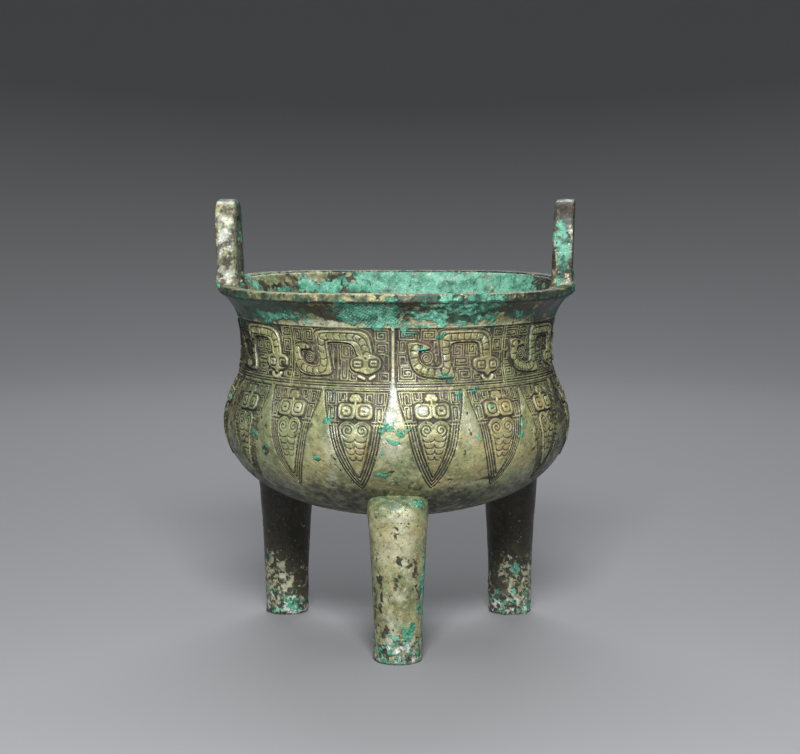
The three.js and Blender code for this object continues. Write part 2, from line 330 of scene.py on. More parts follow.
# Two serpents, in degrees from the unit's left end and mm down the wall. eyes: middle and half sizes;
# coil: middle and radius; bow: how much the scales are curved; ground: boxes of square spirals, as left,
# top, right and bottom.
SERPENTS = {
    "b": {
        "body": [
            (11.1, 28.5), (7.6, 26.3), (4.8, 25.9), (2.7, 26.1), (2.9, 29.2), (3.3, 32.3), (4, 35.8),
            (5.1, 38.9), (7.4, 41), (11.1, 41.9), (15.1, 42.4), (19.7, 42.4), (18.5, 38.1), (17.9, 34.2),
            (17.8, 30.4), (17.8, 26.2), (23.5, 25.9), (27.3, 26.1), (28.7, 27.3), (29.2, 30.4), (29.6, 34.5),
            (34.1, 34.5), (33.9, 30.4), (33.5, 25.8), (32.5, 22.6), (30.1, 21), (26.4, 20.7), (20.6, 20.6),
            (13.7, 20.7), (13.8, 24.6), (14.1, 28.5), (14.6, 32.3), (14.9, 36.7), (11.7, 37.5), (9.1, 36.7),
            (7.4, 34.9), (6.5, 32.3), (6.4, 30.3), (7.3, 29.4), (9.4, 29.3),
        ],
        "head": [
            (26.5, 34.6), (26.5, 37.3), (27.5, 39.4), (29.6, 40.4), (31.4, 40.8), (32.2, 42.6), (33, 40.8),
            (35.1, 40.5), (36.8, 39.4), (37.5, 37.3), (37.2, 34.8), (35.6, 33.6), (33.6, 33.5), (32.3, 32.2),
            (30.7, 33.6), (27.9, 33.6),
        ],
        "eyes": [(29.75, 37.2, 2.55, 2.2), (34.7, 37.2, 2.3, 2.15)],
        "bow": 0.2,
        "crown": [],
        "scales": [
            (6.6, 27.8), (5, 29.2), (4.9, 32.5), (5.6, 36.2), (8, 38.6), (10.9, 39.6), (14.6, 40.1),
            (16.8, 38.2), (16.5, 34.2), (16.2, 30.4), (15.9, 26.5), (16.3, 23.8), (18.8, 23.6), (24.4, 23.6),
            (28.7, 23.8), (30.9, 25.4), (31.5, 28), (31.8, 32.2),
        ],
        "beard": [[(30.2, 42.3), (30.8, 43.6), (32.2, 44.1), (33.6, 43.6), (34.3, 42.2)]],
        "coil": (9.4, 33.2, 3.3),
        "ground": [
            (-0.3, 20.4, 6.6, 24.6), (7.4, 20.4, 12.6, 24.6), (-0.6, 25.6, 2.1, 30.6), (-0.8, 31.3, 3, 36.3),
            (-0.6, 37, 5.6, 43.2), (11.9, 26, 13.6, 31), (11.6, 31.6, 13.9, 36.3), (18.6, 26.9, 23.1, 32.6),
            (23.8, 26.9, 28.4, 32.6), (19.2, 33.4, 25.6, 37.4), (20.4, 38.1, 26, 43.3),
            (26.6, 41.3, 30.1, 43.3), (34.8, 20.4, 39.4, 24.6), (34.7, 25.4, 39.2, 31.6),
            (38.2, 32.3, 39.4, 38.4), (35.6, 39.6, 39.4, 43.3), (6.6, 42.9, 19.6, 43.4),
        ],
    },
    "a": {
        "body": [
            (7.5, 29.9), (6.4, 27.7), (3.8, 27.4), (0.7, 28.2), (0.8, 31.5), (1.1, 35), (1.9, 38.1),
            (3.6, 40.7), (6.7, 41.8), (11, 41.8), (16.6, 40.9), (15.6, 36.5), (15, 32.3), (14.6, 28.5),
            (14.4, 26.2), (16.5, 25.9), (22.6, 26.1), (24.4, 28), (25.3, 33), (30.9, 33), (30.3, 27.3),
            (29.5, 23), (27.7, 21), (24, 20.5), (15.3, 20.6), (9.6, 21.4), (10.1, 24.5), (10.4, 28.1),
            (10.8, 32.3), (11.1, 36.9), (8.1, 37.2), (5.1, 36.5), (3.6, 34.2), (3, 31.6), (3.4, 30.1),
            (5, 29.9),
        ],
        "head": [
            (22.7, 34.2), (22.8, 37.3), (24, 39.2), (26.8, 39.9), (29, 40.9), (31, 39.8), (32.9, 38.7),
            (33.9, 36.5), (33.7, 33.8), (32.3, 32.1), (29.5, 31.2), (26.6, 31.8), (24, 33),
        ],
        "eyes": [(25.5, 35.9, 2.5, 2), (31.1, 35.6, 2.4, 2.05)],
        "bow": 0.9,
        "crown": [(28.2, 33.4)],
        "scales": [
            (4.6, 28.6), (2.2, 29.6), (1.9, 32), (2.5, 36), (5, 38.7), (8.5, 39.6), (12.3, 39.2), (13, 36),
            (12.6, 32.3), (12.2, 28), (12.2, 24), (14.5, 23.5), (20, 23.4), (25, 23.6), (27.2, 25.6),
            (28.2, 29.4), (28.6, 31.5),
        ],
        "beard": [[(26, 41.4), (27.9, 42.5)], [(29.9, 42.5), (31.4, 41.3)]],
        "coil": (6.9, 33.7, 2.6),
        "ground": [
            (0, 20.4, 4.2, 26.3), (4.8, 20.4, 9, 26.3), (16.2, 27.2, 18.4, 43), (19, 27.6, 23.4, 34),
            (19.2, 34.8, 22, 43), (31.4, 20.4, 36.4, 25.4), (31.7, 26.1, 36.4, 31.4),
            (34.6, 32.2, 36.4, 38.6), (32.4, 39.8, 36.4, 43.3), (22.6, 40.8, 25.2, 43.3), (0, 41, 3, 43.3),
            (8.2, 28.6, 10.2, 36.2), (3.4, 42.6, 16, 43.3),
        ],
    },
}


def serpent(start, kind, rng):
    """One serpent of the band, on its ground of square spirals."""
    shape = SERPENTS[kind]
    where, t, s, k = window(start - 1, start + UNIT, *BAND)
    k = float(k.mean())
    shift = rng.uniform(-0.15, 0.15, 2)
    x, y = (t - start) * k + shift[0], s + shift[1] + 0 * t
    local = lambda pts: [(a * k, b) for a, b in pts]

    body = inside_distance(x, y, rounded(local(shape["body"])))
    head = inside_distance(x, y, rounded(local(shape["head"])))
    whole = np.maximum(body, head)
    raise_lines(where, ridge(np.abs(whole + 1.05), 0.12) * 0.85)
    for l, top, r, low in shape["ground"]:
        jog = rng.uniform(-0.2, 0.2, 2)
        flips = rng.random(2) < 0.5
        path = spiral_in_box(l * k + 0.2 + jog[0], top + jog[1], r * k - 0.2, low, 1.16, *flips)
        raise_lines(where, ridge(line_distance(x, y, path)) * smooth(-1.2, -1.5, whole))

    cx, cy, size = shape["coil"]
    clearing = fall(size + 0.5, size + 0.9, np.hypot(x - cx * k, y - cy)) * smooth(-0.5, -0.9, whole)
    lay(where, clearing, GROUND, 0.04)
    coil = round_spiral(cx * k, cy, size, 0.4, 2.6, -2.2)
    raise_lines(where, ridge(line_distance(x, y, coil)) * smooth(-0.6, -0.9, whole))

    lay(where, smooth(-0.75, -0.35, whole) * fall(-0.35, 0.0, whole), GROUND - 0.08, 0.02)
    lay(where, smooth(-0.3, 0.32, whole), 0.78, BAR_TONE)
    # the plain border along the body's edge, and the row of scales inside it
    lay(where, smooth(0.0, 0.2, body) * fall(0.45, 0.7, body) * (head < 0.2), 0.94, 0.88)
    d, run = along_line(x, y, rounded(local(shape["scales"]), 1, closed=False))
    row = (d < 2.2) & (body > 0.45) & (head < 0.0)
    pitch, half_row = 3.2, 1.6
    across = np.minimum(d, half_row) / half_row
    phase = (run + shape["bow"] * (1 - across**2)) / pitch
    between = fall(0.10, 0.38, np.abs(phase - np.round(phase)) * pitch)
    grooves = np.maximum(fall(0.10, 0.38, np.abs(d - 1.75)), between * (d < 1.75)) * row
    cut(where, grooves, 0.5, 0.1)
    pillow = row * (d < 1.5) * (1 - grooves)
    height[where] += 0.2 * pillow * np.cos(across * 1.35)
    tone[where] = np.where(pillow > 0.5, PLAIN_TONE + 0.16 * np.cos(across * 1.5), tone[where])

    lay(where, smooth(0.0, 0.35, head), 0.96, 0.76)
    for ex, ey, hx, hy in shape["eyes"]:
        eye = box_distance(x, y, ex * k, ey, hx, hy, min(hx, hy) * 0.6)
        cut(where, fall(0.2, 0.5, np.abs(eye - 0.3)), 0.5, 0.05)
        lay(where, smooth(0.7, 1.0, eye), 1.12, 0.8)
        cut(where, smooth(-0.22, 0.12, box_distance(x, y, ex * k, ey, hx * 0.36, 0.28, 0.2)), 0.4, 0.06)
    for cx, cy in shape["crown"]:
        cut(where, fall(0.35, 0.75, np.hypot(x - cx * k, y - cy)), 0.35, 0.1)
    for line in shape["beard"]:
        d = line_distance(x, y, rounded(local(line), 1, closed=False))
        clear = (whole < -0.2) * 1.0
        lay(where, fall(1.25, 1.55, d) * clear, GROUND - 0.05, 0.03)
        lay(where, fall(0.65, 0.95, d) * clear, 0.72, 0.95)


def blade(centre, breadth, lean, rng):
    """One hanging blade, with its lines and spirals and the cicada in it."""
    where, t, s, k = window(centre - 12.5, centre + 12.5, BAND[1] - 0.9, WALL_END - 0.1)
    x, y = (t - centre - lean * (s - 50) / 48) * k / breadth, s + 0 * t + rng.uniform(-0.2, 0.2)
    down = (47.1,) + BLADE_DOWN[1:]
    inside = inside_distance(x, y, mirrored(np.interp(down, BLADE_DOWN, BLADE_HALF), down))
    lay(where, smooth(-0.15, 0.25, inside), GROUND, 0.04)

    # lines that run with the edges, two above and five below
    lines = ridge(np.abs(inside - 0.3), 0.16)
    lower = smooth(62.6, 63.2, y)
    for step in (1.55, 2.8, 4.05, 5.3):
        lines = np.maximum(lines, ridge(np.abs(inside - step), 0.15) * (lower if step > 1.7 else 1))
    for s_line in (62.2, 63.7):
        lines = np.maximum(lines, ridge(np.abs(y - s_line)) * (np.abs(x) > 7.4) * (inside > 0.2))
    raise_lines(where, lines)

    # square spirals in the upper corners and beside the eyes
    for side in (-1, 1):
        for l, a, r, b in ((9.3, 48.7, 13.1, 54.4), (4.3, 48.7, 8.3, 53.0), (9.4, 55.4, 12.4, 61.6)):
            jog = rng.uniform(-0.15, 0.15)
            spiral = spiral_in_box(l, a, r, b, 1.12, rng.random() < 0.5, rng.random() < 0.5)
            path = [(side * u, v + jog) for u, v in spiral]
            raise_lines(where, ridge(line_distance(x, y, path)) * (inside > 0.9))
        feeler = [(side * 1.2, 48.6), (side * 3.6, 51.2), (side * 8.4, 53.7)]
        raise_lines(where, ridge(line_distance(x, y, feeler)))

    # the cicada's crown, eyes and body
    beside = np.abs(x)
    crown = np.maximum(box_distance(x, y, 0, 50.7, 2.3, 1.25, 1.2), 1.35 - np.hypot(beside - 1.75, y - 51.9))
    crown = np.maximum(crown, box_distance(x, y, 0, 52.4, 0.75, 3.0, 0.4))
    plates = box_distance(beside, y, 4.05, 57.5, 4.05, 3.75, 2.2)
    torso = inside_distance(x, y, mirrored(CICADA_HALF, CICADA_DOWN))
    torso = np.where(y < 65.6, np.minimum(torso, 4.3 - np.hypot(beside - 3.35, y - 66.2)), torso)
    whole = np.maximum(np.maximum(crown, plates), torso)
    lay(where, smooth(-1.0, -0.5, whole) * fall(-0.3, 0.0, whole), GROUND - 0.05, 0.02)
    for form, level, shade in ((torso, 0.50, 0.72), (crown, 0.62, 0.76), (plates, 0.66, 0.74)):
        lay(where, smooth(-0.28, 0.3, form), level, shade)
    eye = box_distance(beside, y, 4.1, 57.4, 2.6, 2.6, 1.9)
    cut(where, fall(0.14, 0.42, np.abs(eye - 0.2)), 0.36, 0.14)
    lay(where, smooth(0.45, 0.8, eye), 0.86, 0.8)
    cut(where, smooth(-0.22, 0.14, box_distance(beside, y, 4.1, 57.5, 0.85, 0.3, 0.25)), 0.36, 0.08)
    cut(where, fall(0.12, 0.36, np.abs(torso - 1.0)) * (torso > 0) * (y < 80), 0.16, 0.35)
    on_torso = torso > 0.2
    half_turn = np.linspace(0, math.pi, 9)
    for side in (-1, 1):
        curl = round_spiral(side * 3.3, 66.2, 2.95, 0.3, 1.7, 1.4 if side > 0 else math.pi - 1.4, -side)
        cut(where, fall(0.14, 0.42, line_distance(x, y, curl)) * on_torso, 0.38, 0.12)
        for scale in range(4):
            top = 70.0 + 2.8 * scale
            w = float(np.interp(top + 1.0, CICADA_DOWN, CICADA_HALF)) - 0.8
            arc = [(side * (w / 2 + w / 2 * math.cos(a)), top + 1.45 * math.sin(a)) for a in half_turn]
            cut(where, fall(0.12, 0.44, line_distance(x, y, arc)) * on_torso, 0.32, 0.16)


def carve():
    rng = np.random.default_rng(11)
    band = (ROWS > BAND[0] + 1.3) & (ROWS < BAND[1] - 0.2)
    height[band] = GROUND
    tone[band] = 0.04
    starts = [FIRST_UNIT + UNIT * i for i in range(9)]
    for i, start in enumerate(starts):
        serpent(start, "a" if i % 3 == 2 else "b", rng)
    # upright lines between the serpents
    for i, start in enumerate(starts):
        if i % 3:
            where, t, s, k = window(start - 3, start + 2, BAND[0] + 1.3, BAND[1] - 0.4)
            for off in (-0.9, 0.5):
                raise_lines(where, ridge(np.abs((t - start) * k - off)) + 0 * s)
    # border lines above and below the band
    for s_line, half in ((18.7, 0.4), (44.3, 0.2), (45.5, 0.18), (46.7, 0.22)):
        raise_lines(..., ridge(np.abs(ROWS - s_line), half)[:, None] + np.zeros(COLS), 0.12, 0.92)
    for facts in BLADES:
        blade(*facts, rng)
    # the mould's seams, over the legs
    for centre in (SEAM, SEAM + 120, SEAM - 120):
        where, t, s, k = window(centre - 4, centre + 4, BAND[0] + 0.8, 62)
        d = np.abs((t - centre) * k) + 0 * s
        cut(where, fall(0.2, 0.5, np.abs(d - 1.35)) * (s < 47) * 0.8, 0.1, 0.1)
        lay(where, fall(0.5, 1.0, d) * fall(43, 50, s), 0.52, 0.95)


carve()


# ---------------------------------------------------------------- meshes and masks

# The masks that the patina reads: three colour layers of four channels, from 0 to 1.
LAYERS = {
    "relief": ("tone", "gloss", "earth", "specks"),
    "growth": ("turquoise", "dark", "teal", "malachite"),
    "tint": ("ochre", "pale", "green", "frost_and_highlight"),
}
BOX_LOW, BOX_HIGH = (np.array([float(v) for v in corner]) / MM for corner in cad_box)
made = []


def put(name, data):
    thing = bpy.data.objects.new(name, data)
    bpy.context.scene.collection.objects.link(thing)
    return thing


def vertex_normals(grid):
    """Normals of a grid of points, rows by columns, whose columns close on themselves."""
    g = np.pad(grid, ((0, 0), (1, 1), (0, 0)), mode="wrap")
    du = g[:, 2:] - g[:, :-2]
    v = np.pad(grid, ((1, 1), (0, 0), (0, 0)), mode="edge")
    n = np.cross(v[2:] - v[:-2], du)
    return n / np.maximum(np.linalg.norm(n, axis=-1, keepdims=True), 1e-9)


def grid_piece(name, grid, masks, wrap=True, normals=None, flip=False, closed_foot=False):
    """A mesh from a grid of points and the masks for them. Nothing of it stands outside the solid's box."""
    rows, cols = grid.shape[:2]
    index = np.arange(rows * cols).reshape(rows, cols)
    right = np.roll(index, -1, axis=1) if wrap else index[:, 1:]
    left = index if wrap else index[:, :-1]
    faces = np.stack([left[:-1], left[1:], right[1:], right[:-1]], axis=-1).reshape(-1, 4)
    if flip:
        faces = faces[:, ::-1]
    points = np.clip(grid.reshape(-1, 3), BOX_LOW, BOX_HIGH)
    mesh = bpy.data.meshes.new(name)
    loops, sizes = faces.reshape(-1).tolist(), [4] * len(faces)
    if closed_foot:
        loops += index[0, ::-1].tolist()
        sizes.append(cols)
    mesh.vertices.add(len(points))
    mesh.vertices.foreach_set("co", (points * MM).astype(np.float32).ravel())
    mesh.loops.add(len(loops))
    mesh.loops.foreach_set("vertex_index", np.array(loops, np.int32))
    mesh.polygons.add(len(sizes))
    mesh.polygons.foreach_set("loop_start", np.r_[0, np.cumsum(sizes)[:-1]].astype(np.int32))
    mesh.update(calc_edges=True)
    mesh.validate()
    mesh.polygons.foreach_set("use_smooth", np.ones(len(mesh.polygons), bool))
    for layer_name, names in LAYERS.items():
        values = np.stack([np.broadcast_to(masks[n], (rows, cols)) for n in names], axis=-1)
        layer = mesh.attributes.new(layer_name, "FLOAT_COLOR", "POINT")
        layer.data.foreach_set("color", unit(values).astype(np.float32).reshape(-1))
    if normals is not None:
        mesh.normals_split_custom_set_from_vertices(normals.reshape(-1, 3).tolist())
    piece = put(name, mesh)
    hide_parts(NODE)
    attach(piece, "root")
    made.append(piece)


def spots(theta, s, marks):
    """Soft ovals (middle, half sizes and strength), the strongest winning."""
    total = np.zeros(np.broadcast(theta, s).shape)
    for mt, ms, ht, hs, strength in marks:
        d = np.hypot(turned(theta - mt) / ht, (s - ms) / hs)
        total = np.maximum(total, strength * fall(0.1, 1.75, d))
    return total


def scattered(seed, count, s_range, sizes, strength):
    """Stains for the sides and back, where the front's own are not."""
    rng = np.random.default_rng(seed)
    marks = []
    while len(marks) < count:
        t = rng.uniform(-180, 180)
        if abs(t) >= 75:
            down, wide = rng.uniform(*s_range), rng.uniform(*sizes) * 0.75
            marks.append((t, down, wide, rng.uniform(*sizes) * rng.uniform(0.4, 0.8), rng.uniform(*strength)))
    return marks


def ragged(mask, points, seed, size=5.0, amount=1.0):
    """A soft mask broken up by noise at two scales; the surface shows it from about a half upwards."""
    broken = mask + amount * (0.7 * grain(points, size, seed) + 0.45 * grain(points, size * 0.3, seed + 5, 3))
    return unit(broken) * smooth(0.02, 0.25, mask)


# Stains on the wall, with painted shade on the sides and a painted highlight at the seam: degrees from the
# front, mm down, half width in degrees, half height in mm, strength.
STAINS = {
    "turquoise": [
        (-8, 11.5, 11, 7.5, 1), (-18, 7, 5, 3, 0.8), (-46, 7, 9, 2, 0.5), (-62, 14, 10, 4, 0.45),
        (-46, 15.6, 13, 3, 0.8), (-56, 5.5, 8, 1.6, 0.6), (2.5, 19, 2.6, 2.4, 0.95), (15, 16.4, 3, 2.2, 0.8),
        (9, 18.5, 2.6, 1.2, 0.8), (22, 6, 14, 5, 1), (25, 2.4, 9, 1.8, 0.95), (24, 16.5, 5, 1.8, 0.8),
        (12, 14.5, 6, 2.2, 0.75), (32, 14.4, 5, 2.6, 0.75), (48, 12.5, 7, 4, 0.55), (9, 13, 4, 2.6, 0.75),
        (14, 11, 5, 3, 0.7), (6, 12, 3, 2, 0.6), (66, 4, 6, 3, 0.7), (10.5, 28.4, 2.2, 0.8, 0.9),
        (16.4, 23.2, 1.5, 1.6, 0.9), (6.2, 23, 2.4, 1.6, 0.9), (1.8, 22, 1.5, 1.5, 0.7),
        (16.6, 30.6, 1, 1, 0.7), (16.4, 40.4, 4, 1.4, 0.8), (18.5, 44.4, 2.6, 1.2, 0.75),
        (22, 49.5, 1.6, 4, 0.8), (26.5, 48.2, 1.8, 1.5, 0.75), (-20.5, 43.8, 3, 0.9, 0.5),
        (-22, 47.5, 2, 1.2, 0.6), (33.5, 17.6, 5, 1.2, 0.6), (-3.2, 64.6, 2, 2.6, 0.92),
        (0.3, 67, 2, 2, 0.95), (-1.2, 70.5, 2.6, 1.7, 0.9), (3, 65.6, 1.4, 1.6, 0.8),
        (-4.6, 67.5, 1.2, 1.2, 0.75), (-23.8, 62.4, 1, 3, 0.85), (-5.4, 76.5, 0.8, 1.6, 0.85),
        (32.2, 55.8, 1.3, 1.7, 0.85), (30.8, 58, 1, 1, 0.7), (-4.4, 85.8, 1.9, 1, 0.9),
        (-26.6, 80.5, 0.8, 1.4, 0.85), (-20.6, 80.5, 0.6, 1.6, 0.7), (45.2, 65, 1, 3.4, 0.85),
        (44, 71, 1.2, 1.6, 0.8), (55, 66, 2, 2.5, 0.45), (-52, 70, 2.5, 3, 0.4), (-44, 76, 1.4, 1.6, 0.7),
        (-46.5, 80, 1.2, 1.2, 0.7), (3.8, 93, 0.8, 0.9, 0.7), (8, 102, 3, 1.2, 0.8), (-66, 30, 4, 4, 0.3),
        (27, 70, 0.5, 3.4, 0.7),
    ],
    "dark": [
        (-31, 9.5, 8, 4.6, 1), (-22, 12.5, 6, 3.4, 1), (-40, 7, 4, 1.6, 0.7), (4, 6.5, 6, 3.6, 0.85),
        (6, 12, 7, 3, 0.6), (30, 12, 9, 4, 0.9), (14, 10, 11, 5, 0.85), (18, 13, 12, 3, 0.7),
        (44, 8, 10, 7, 1), (7, 2.4, 6, 1.6, 0.85), (30, 2.6, 4, 1.2, 0.6), (16, 3.2, 3, 0.8, 0.6),
        (62, 10, 14, 10, 1), (-70, 8, 16, 6, 0.6), (38, 5, 8, 3, 0.85), (54, 3, 22, 3.2, 1),
        (125, 0.6, 30, 1.6, 0.9), (6, 2.2, 12, 1.8, 0.7), (-44.5, 37.2, 1.3, 1.6, 1), (45.6, 36, 1.6, 2.6, 1),
        # painted shade: the broad marks at -72 and -88 degrees, and the one at 80 degrees below, darken the
        # sides away from the front
        (45, 61.8, 0.8, 2.4, 0.95), (-72, 34, 14, 16, 0.75), (-88, 60, 24, 40, 0.5),
        (-20.6, 80.5, 0.8, 1.8, 0.85), (-4.4, 85.2, 2, 1, 0.9), (-12, 99, 22, 3, 0.3), (-46, 79, 2, 3, 0.7),
        (-26.6, 80.5, 1, 1.6, 0.7), (24.5, 58, 0.5, 2, 0.7), (24.2, 66, 0.5, 1.6, 0.6),
        (3.6, 93.2, 0.9, 1.6, 0.8), (4, 78, 2.4, 3, 0.5), (80, 60, 22, 40, 0.5), (31, 92, 6, 2, 0.6),
    ],
    "teal": [
        (-60, 11, 24, 9, 1.2), (-38, 13, 10, 5, 0.8), (66, 14, 16, 6, 0.8), (44, 13, 9, 4, 0.8),
        (85, 9, 14, 9, 0.7), (-88, 9, 12, 9, 0.9), (-14, 9, 14, 6, 0.7), (22, 11, 16, 6, 0.95),
        (27, 20.5, 4, 1.5, 0.5), (-62, 2.4, 16, 2.4, 0.8), (-44, 15.5, 12, 3.5, 0.9),
    ],
    "ochre": [
        (14, 92, 6, 5, 0.5), (-7, 93, 5, 4, 0.45), (25.5, 72, 3, 9, 0.55), (11.7, 78, 4, 9, 0.6),
        (36, 60, 6, 10, 0.85), (34.6, 76, 4, 8, 0.85), (-12, 77, 3.5, 5, 0.8), (20, 30, 16, 9, 0.55),
        (8, 34, 6, 7, 0.45), (33, 38, 5, 4, 0.35), (24, 23, 6, 2.4, 0.8), (-20, 2.2, 22, 1.8, 0.6),
        (48, 82, 6, 6, 0.6), (-25, 76, 2.4, 4, 0.75), (-24, 86, 4, 4, 0.5), (-36, 90, 7, 5, 0.5),
        (57, 62, 6, 12, 0.75), (-13, 57, 5, 4, 0.5), (30, 88, 6, 6, 0.5), (-55, 28, 5, 4, 0.4),
        (-32, 36, 8, 5, 0.35), (0, 96, 18, 4, 0.3),
    ],
    "pale": [
        # painted highlight: the first five marks, pale down the seam and on the blades' eyes beside it
        (-1.2, 40, 1.1, 14, 0.9), (-1, 52, 2, 8, 1), (-1.8, 60, 2.8, 5, 0.95), (8, 57, 2.2, 2.2, 0.9),
        (-9, 57, 2, 2, 0.55), (-1.5, 16.5, 18, 1.4, 0.55), (-26, 17, 12, 1.3, 0.95), (9, 16.8, 8, 1.2, 0.6),
        (-44, 4.2, 14, 1, 0.5), (16.4, 27, 0.9, 1, 0.95), (16.5, 33, 0.9, 2.6, 1),
        (16.8, 36.6, 0.9, 1.2, 0.9), (-2, 74, 4, 6, 0.75), (-20, 72, 3, 10, 0.6), (24, 66, 2.4, 8, 0.75),
        (2, 46.2, 7, 1.2, 0.7), (3, 44, 4, 1, 0.6), (3.5, 37, 2, 5, 0.5), (-22, 90, 2, 4, 0.6),
        (-34, 58, 2, 2, 0.5), (27, 94, 5, 3, 0.3), (45, 58, 1.5, 2.5, 0.7), (-44, 56, 3, 8, 0.4),
    ],
    "green": [
        (-34, 66, 6, 14, 0.9), (-13.4, 66, 4.5, 6, 0.9), (-46, 66, 6, 14, 0.9), (-58, 58, 10, 24, 1),
        (-24, 66, 3, 12, 0.7), (-50, 84, 14, 10, 0.8), (-66, 86, 20, 16, 0.7), (-2, 88, 7, 6, 0.8),
        (-30, 96, 20, 8, 0.5), (-60, 32, 10, 12, 0.6), (6, 80, 4, 5, 0.4), (50, 90, 12, 8, 0.5),
        (70, 70, 12, 24, 0.6), (62, 30, 12, 12, 0.6), (0, 108, 60, 10, 0.5),
    ],
    "earth": [
        (-14, 30, 14, 14, 0.8), (2, 34, 6, 12, 0.9), (26, 34, 14, 10, 0.8), (14, 26, 4, 6, 0.9),
        (10, 52, 14, 8, 0.9), (-26, 34, 8, 10, 0.6), (-8, 54, 8, 10, 0.9), (-36, 52, 9, 8, 0.8),
        (-40, 78, 8, 12, 0.8), (34, 52, 9, 6, 0.6), (20, 66, 4, 16, 0.4), (34, 76, 8, 12, 0.5),
        (-28, 78, 4, 12, 0.6),
    ],
    # painted highlight: every mark here is the key light's reflection, painted white on the seam and the
    # blades' eyes
    "frost_and_highlight": [(-1.1, 50, 1.5, 9, 1), (-1.8, 60, 2.6, 4, 1), (7.6, 57, 2, 2, 1), (-9.4, 57, 1.4, 1.4, 0.8)],
}
# More of them at random: kind, seed, number, and the ranges of mm down, of half sizes and of strength.
for kind, *facts in (
    ("turquoise", 3, 46, (4, 19), (4, 16), (0.6, 0.95)),
    ("turquoise", 4, 80, (19, 100), (1, 3.6), (0.55, 0.9)),
    ("dark", 5, 30, (4, 19), (5, 15), (0.6, 0.95)),
    ("dark", 6, 40, (20, 105), (1, 5), (0.45, 0.85)),
    ("teal", 7, 26, (4, 20), (8, 22), (0.5, 0.95)),
    ("ochre", 8, 44, (20, 105), (3, 9), (0.4, 0.8)),
    ("pale", 9, 36, (40, 100), (2, 6), (0.4, 0.8)),
    ("green", 10, 40, (20, 110), (6, 20), (0.4, 0.9)),
    ("earth", 12, 40, (20, 98), (6, 18), (0.4, 1.0)),
):
    STAINS[kind] += scattered(*facts)
STAINS["malachite"] = [mark for mark in STAINS["turquoise"] if mark[1] > 60]


def wall_masks(theta, s, points, tone):
    t = theta + 4.2 * grain(points, 10, 21, 3)
    d = s + 4.6 * grain(points, 8, 31, 3)
    # painted shade: the colour is darkened towards the floor and away from the front, in the tone and with
    # the dark brown layer
    low = smooth(86, 108, s)  # the belly darkens towards the floor, and away from the front
    aside = smooth(44, 72, np.abs(theta))
    masks = {"tone": tone - 0.26 * low - 0.22 * aside}
    masks["specks"] = 0.35 + 0.2 * smooth(60, 100, s) + 0.3 * aside
    for kind, least, seed, size in (("turquoise", 0, 22, 4), ("dark", 0.42 * low, 23, 5), ("teal", 0, 24, 7)):
        masks[kind] = ragged(np.maximum(spots(t, d, STAINS[kind]), least), points, seed, size, 0.9)
    masks["malachite"] = ragged(spots(t, d, STAINS["malachite"]) * 0.75, points, 29, 2.5)
    for kind, amount, size, seed in (("ochre", 0.35, 7, 25), ("green", 0.5, 12, 27), ("earth", 0.5, 4, 28)):
        masks[kind] = unit(spots(t, d, STAINS[kind]) + amount * grain(points, size, seed))
    masks["pale"] = unit(spots(theta + 0.25 * (t - theta), s, STAINS["pale"]) + 0.25 * grain(points, 3, 26))
    masks["gloss"] = unit(0.3 + 0.6 * spots(theta, s, STAINS["pale"]) - masks["turquoise"])
    # painted highlight: white on the seam and on the eyes of the two blades beside it
    masks["frost_and_highlight"] = 0.8 * spots(theta, s, STAINS["frost_and_highlight"])
    return masks


def blister(points, turquoise, seed):
    """Crust stands a little proud of the metal, in lumps."""
    return smooth(0.4, 0.7, turquoise) * (0.05 + 0.5 * unit(fractal(points, 2.2, seed, 3) - 0.38))


def casting(points):
    """Shallow unevenness of the wall."""
    return (fractal(points, 26, 42, 2) - 0.5) * 0.35 + (fractal(points, 3.0, 43, 3) - 0.5) * 0.10


def dirt(points):
    return 0.28 * grain(points, 2.2, 48, 3) + 0.16 * grain(points, 9, 49, 2)


# The carved wall, with worn edges, cut in six pieces that share their normals.
theta_grid, s_grid = np.meshgrid(THETA, ROWS)
base = wall_points(theta_grid, s_grid)
wall = wall_masks(theta_grid, s_grid, base, tone)
wear = fractal(base, 11, 41, 3)
pitted = smooth(0.3, 0.6, fractal(base, 14, 47, 2))
pits = smooth(0.66, 0.8, fractal(base, 2.4, 44, 2)) * (tone > 0.5) * pitted
lift = height * (0.80 + 0.28 * wear) + casting(base) - pits * 0.3 + blister(base, wall["turquoise"], 45)
# crust fills the grooves
fill = smooth(0.5, 0.8, wall["turquoise"] + 0.4 * grain(base, 1.4, 46, 2))
lift = np.where(lift < 0.05, lift * (1 - 0.6 * fill) + 0.05 * fill, lift)
shade = wall["tone"] * (1 - 0.4 * fill) + 0.2 * fill - 0.25 * pits
# thin lines are rubbed dull here and there
on_ground = (height < 0.2) & (height > GROUND - 0.2) & (np.abs(height) > 0.001)
on_ground &= (s_grid > BAND[0] + 1.3) & (s_grid < 63)
shade = np.where(on_ground, shade * (0.60 + 0.62 * fractal(base, 7, 50, 3)), shade)
# dirt blurs and thickens the lines in places
wall["tone"] = unit(shade + dirt(base))
carved = wall_points(theta_grid, s_grid, lift)
carved_normals = vertex_normals(carved)
band_end = int(np.searchsorted(ROWS, BAND[1]))
third = COLS // 3
for n, side in enumerate(("left", "front", "right")):
    cols = np.arange(n * third, (n + 1) * third + 1) % COLS
    for name, rows in (("neck", slice(0, band_end + 1)), ("blades", slice(band_end, len(ROWS)))):
        take = lambda a: a[rows][:, cols]
        masks = {kind: take(values) for kind, values in wall.items()}
        grid_piece(f"{name}_{side}", take(carved), masks, False, take(carved_normals))

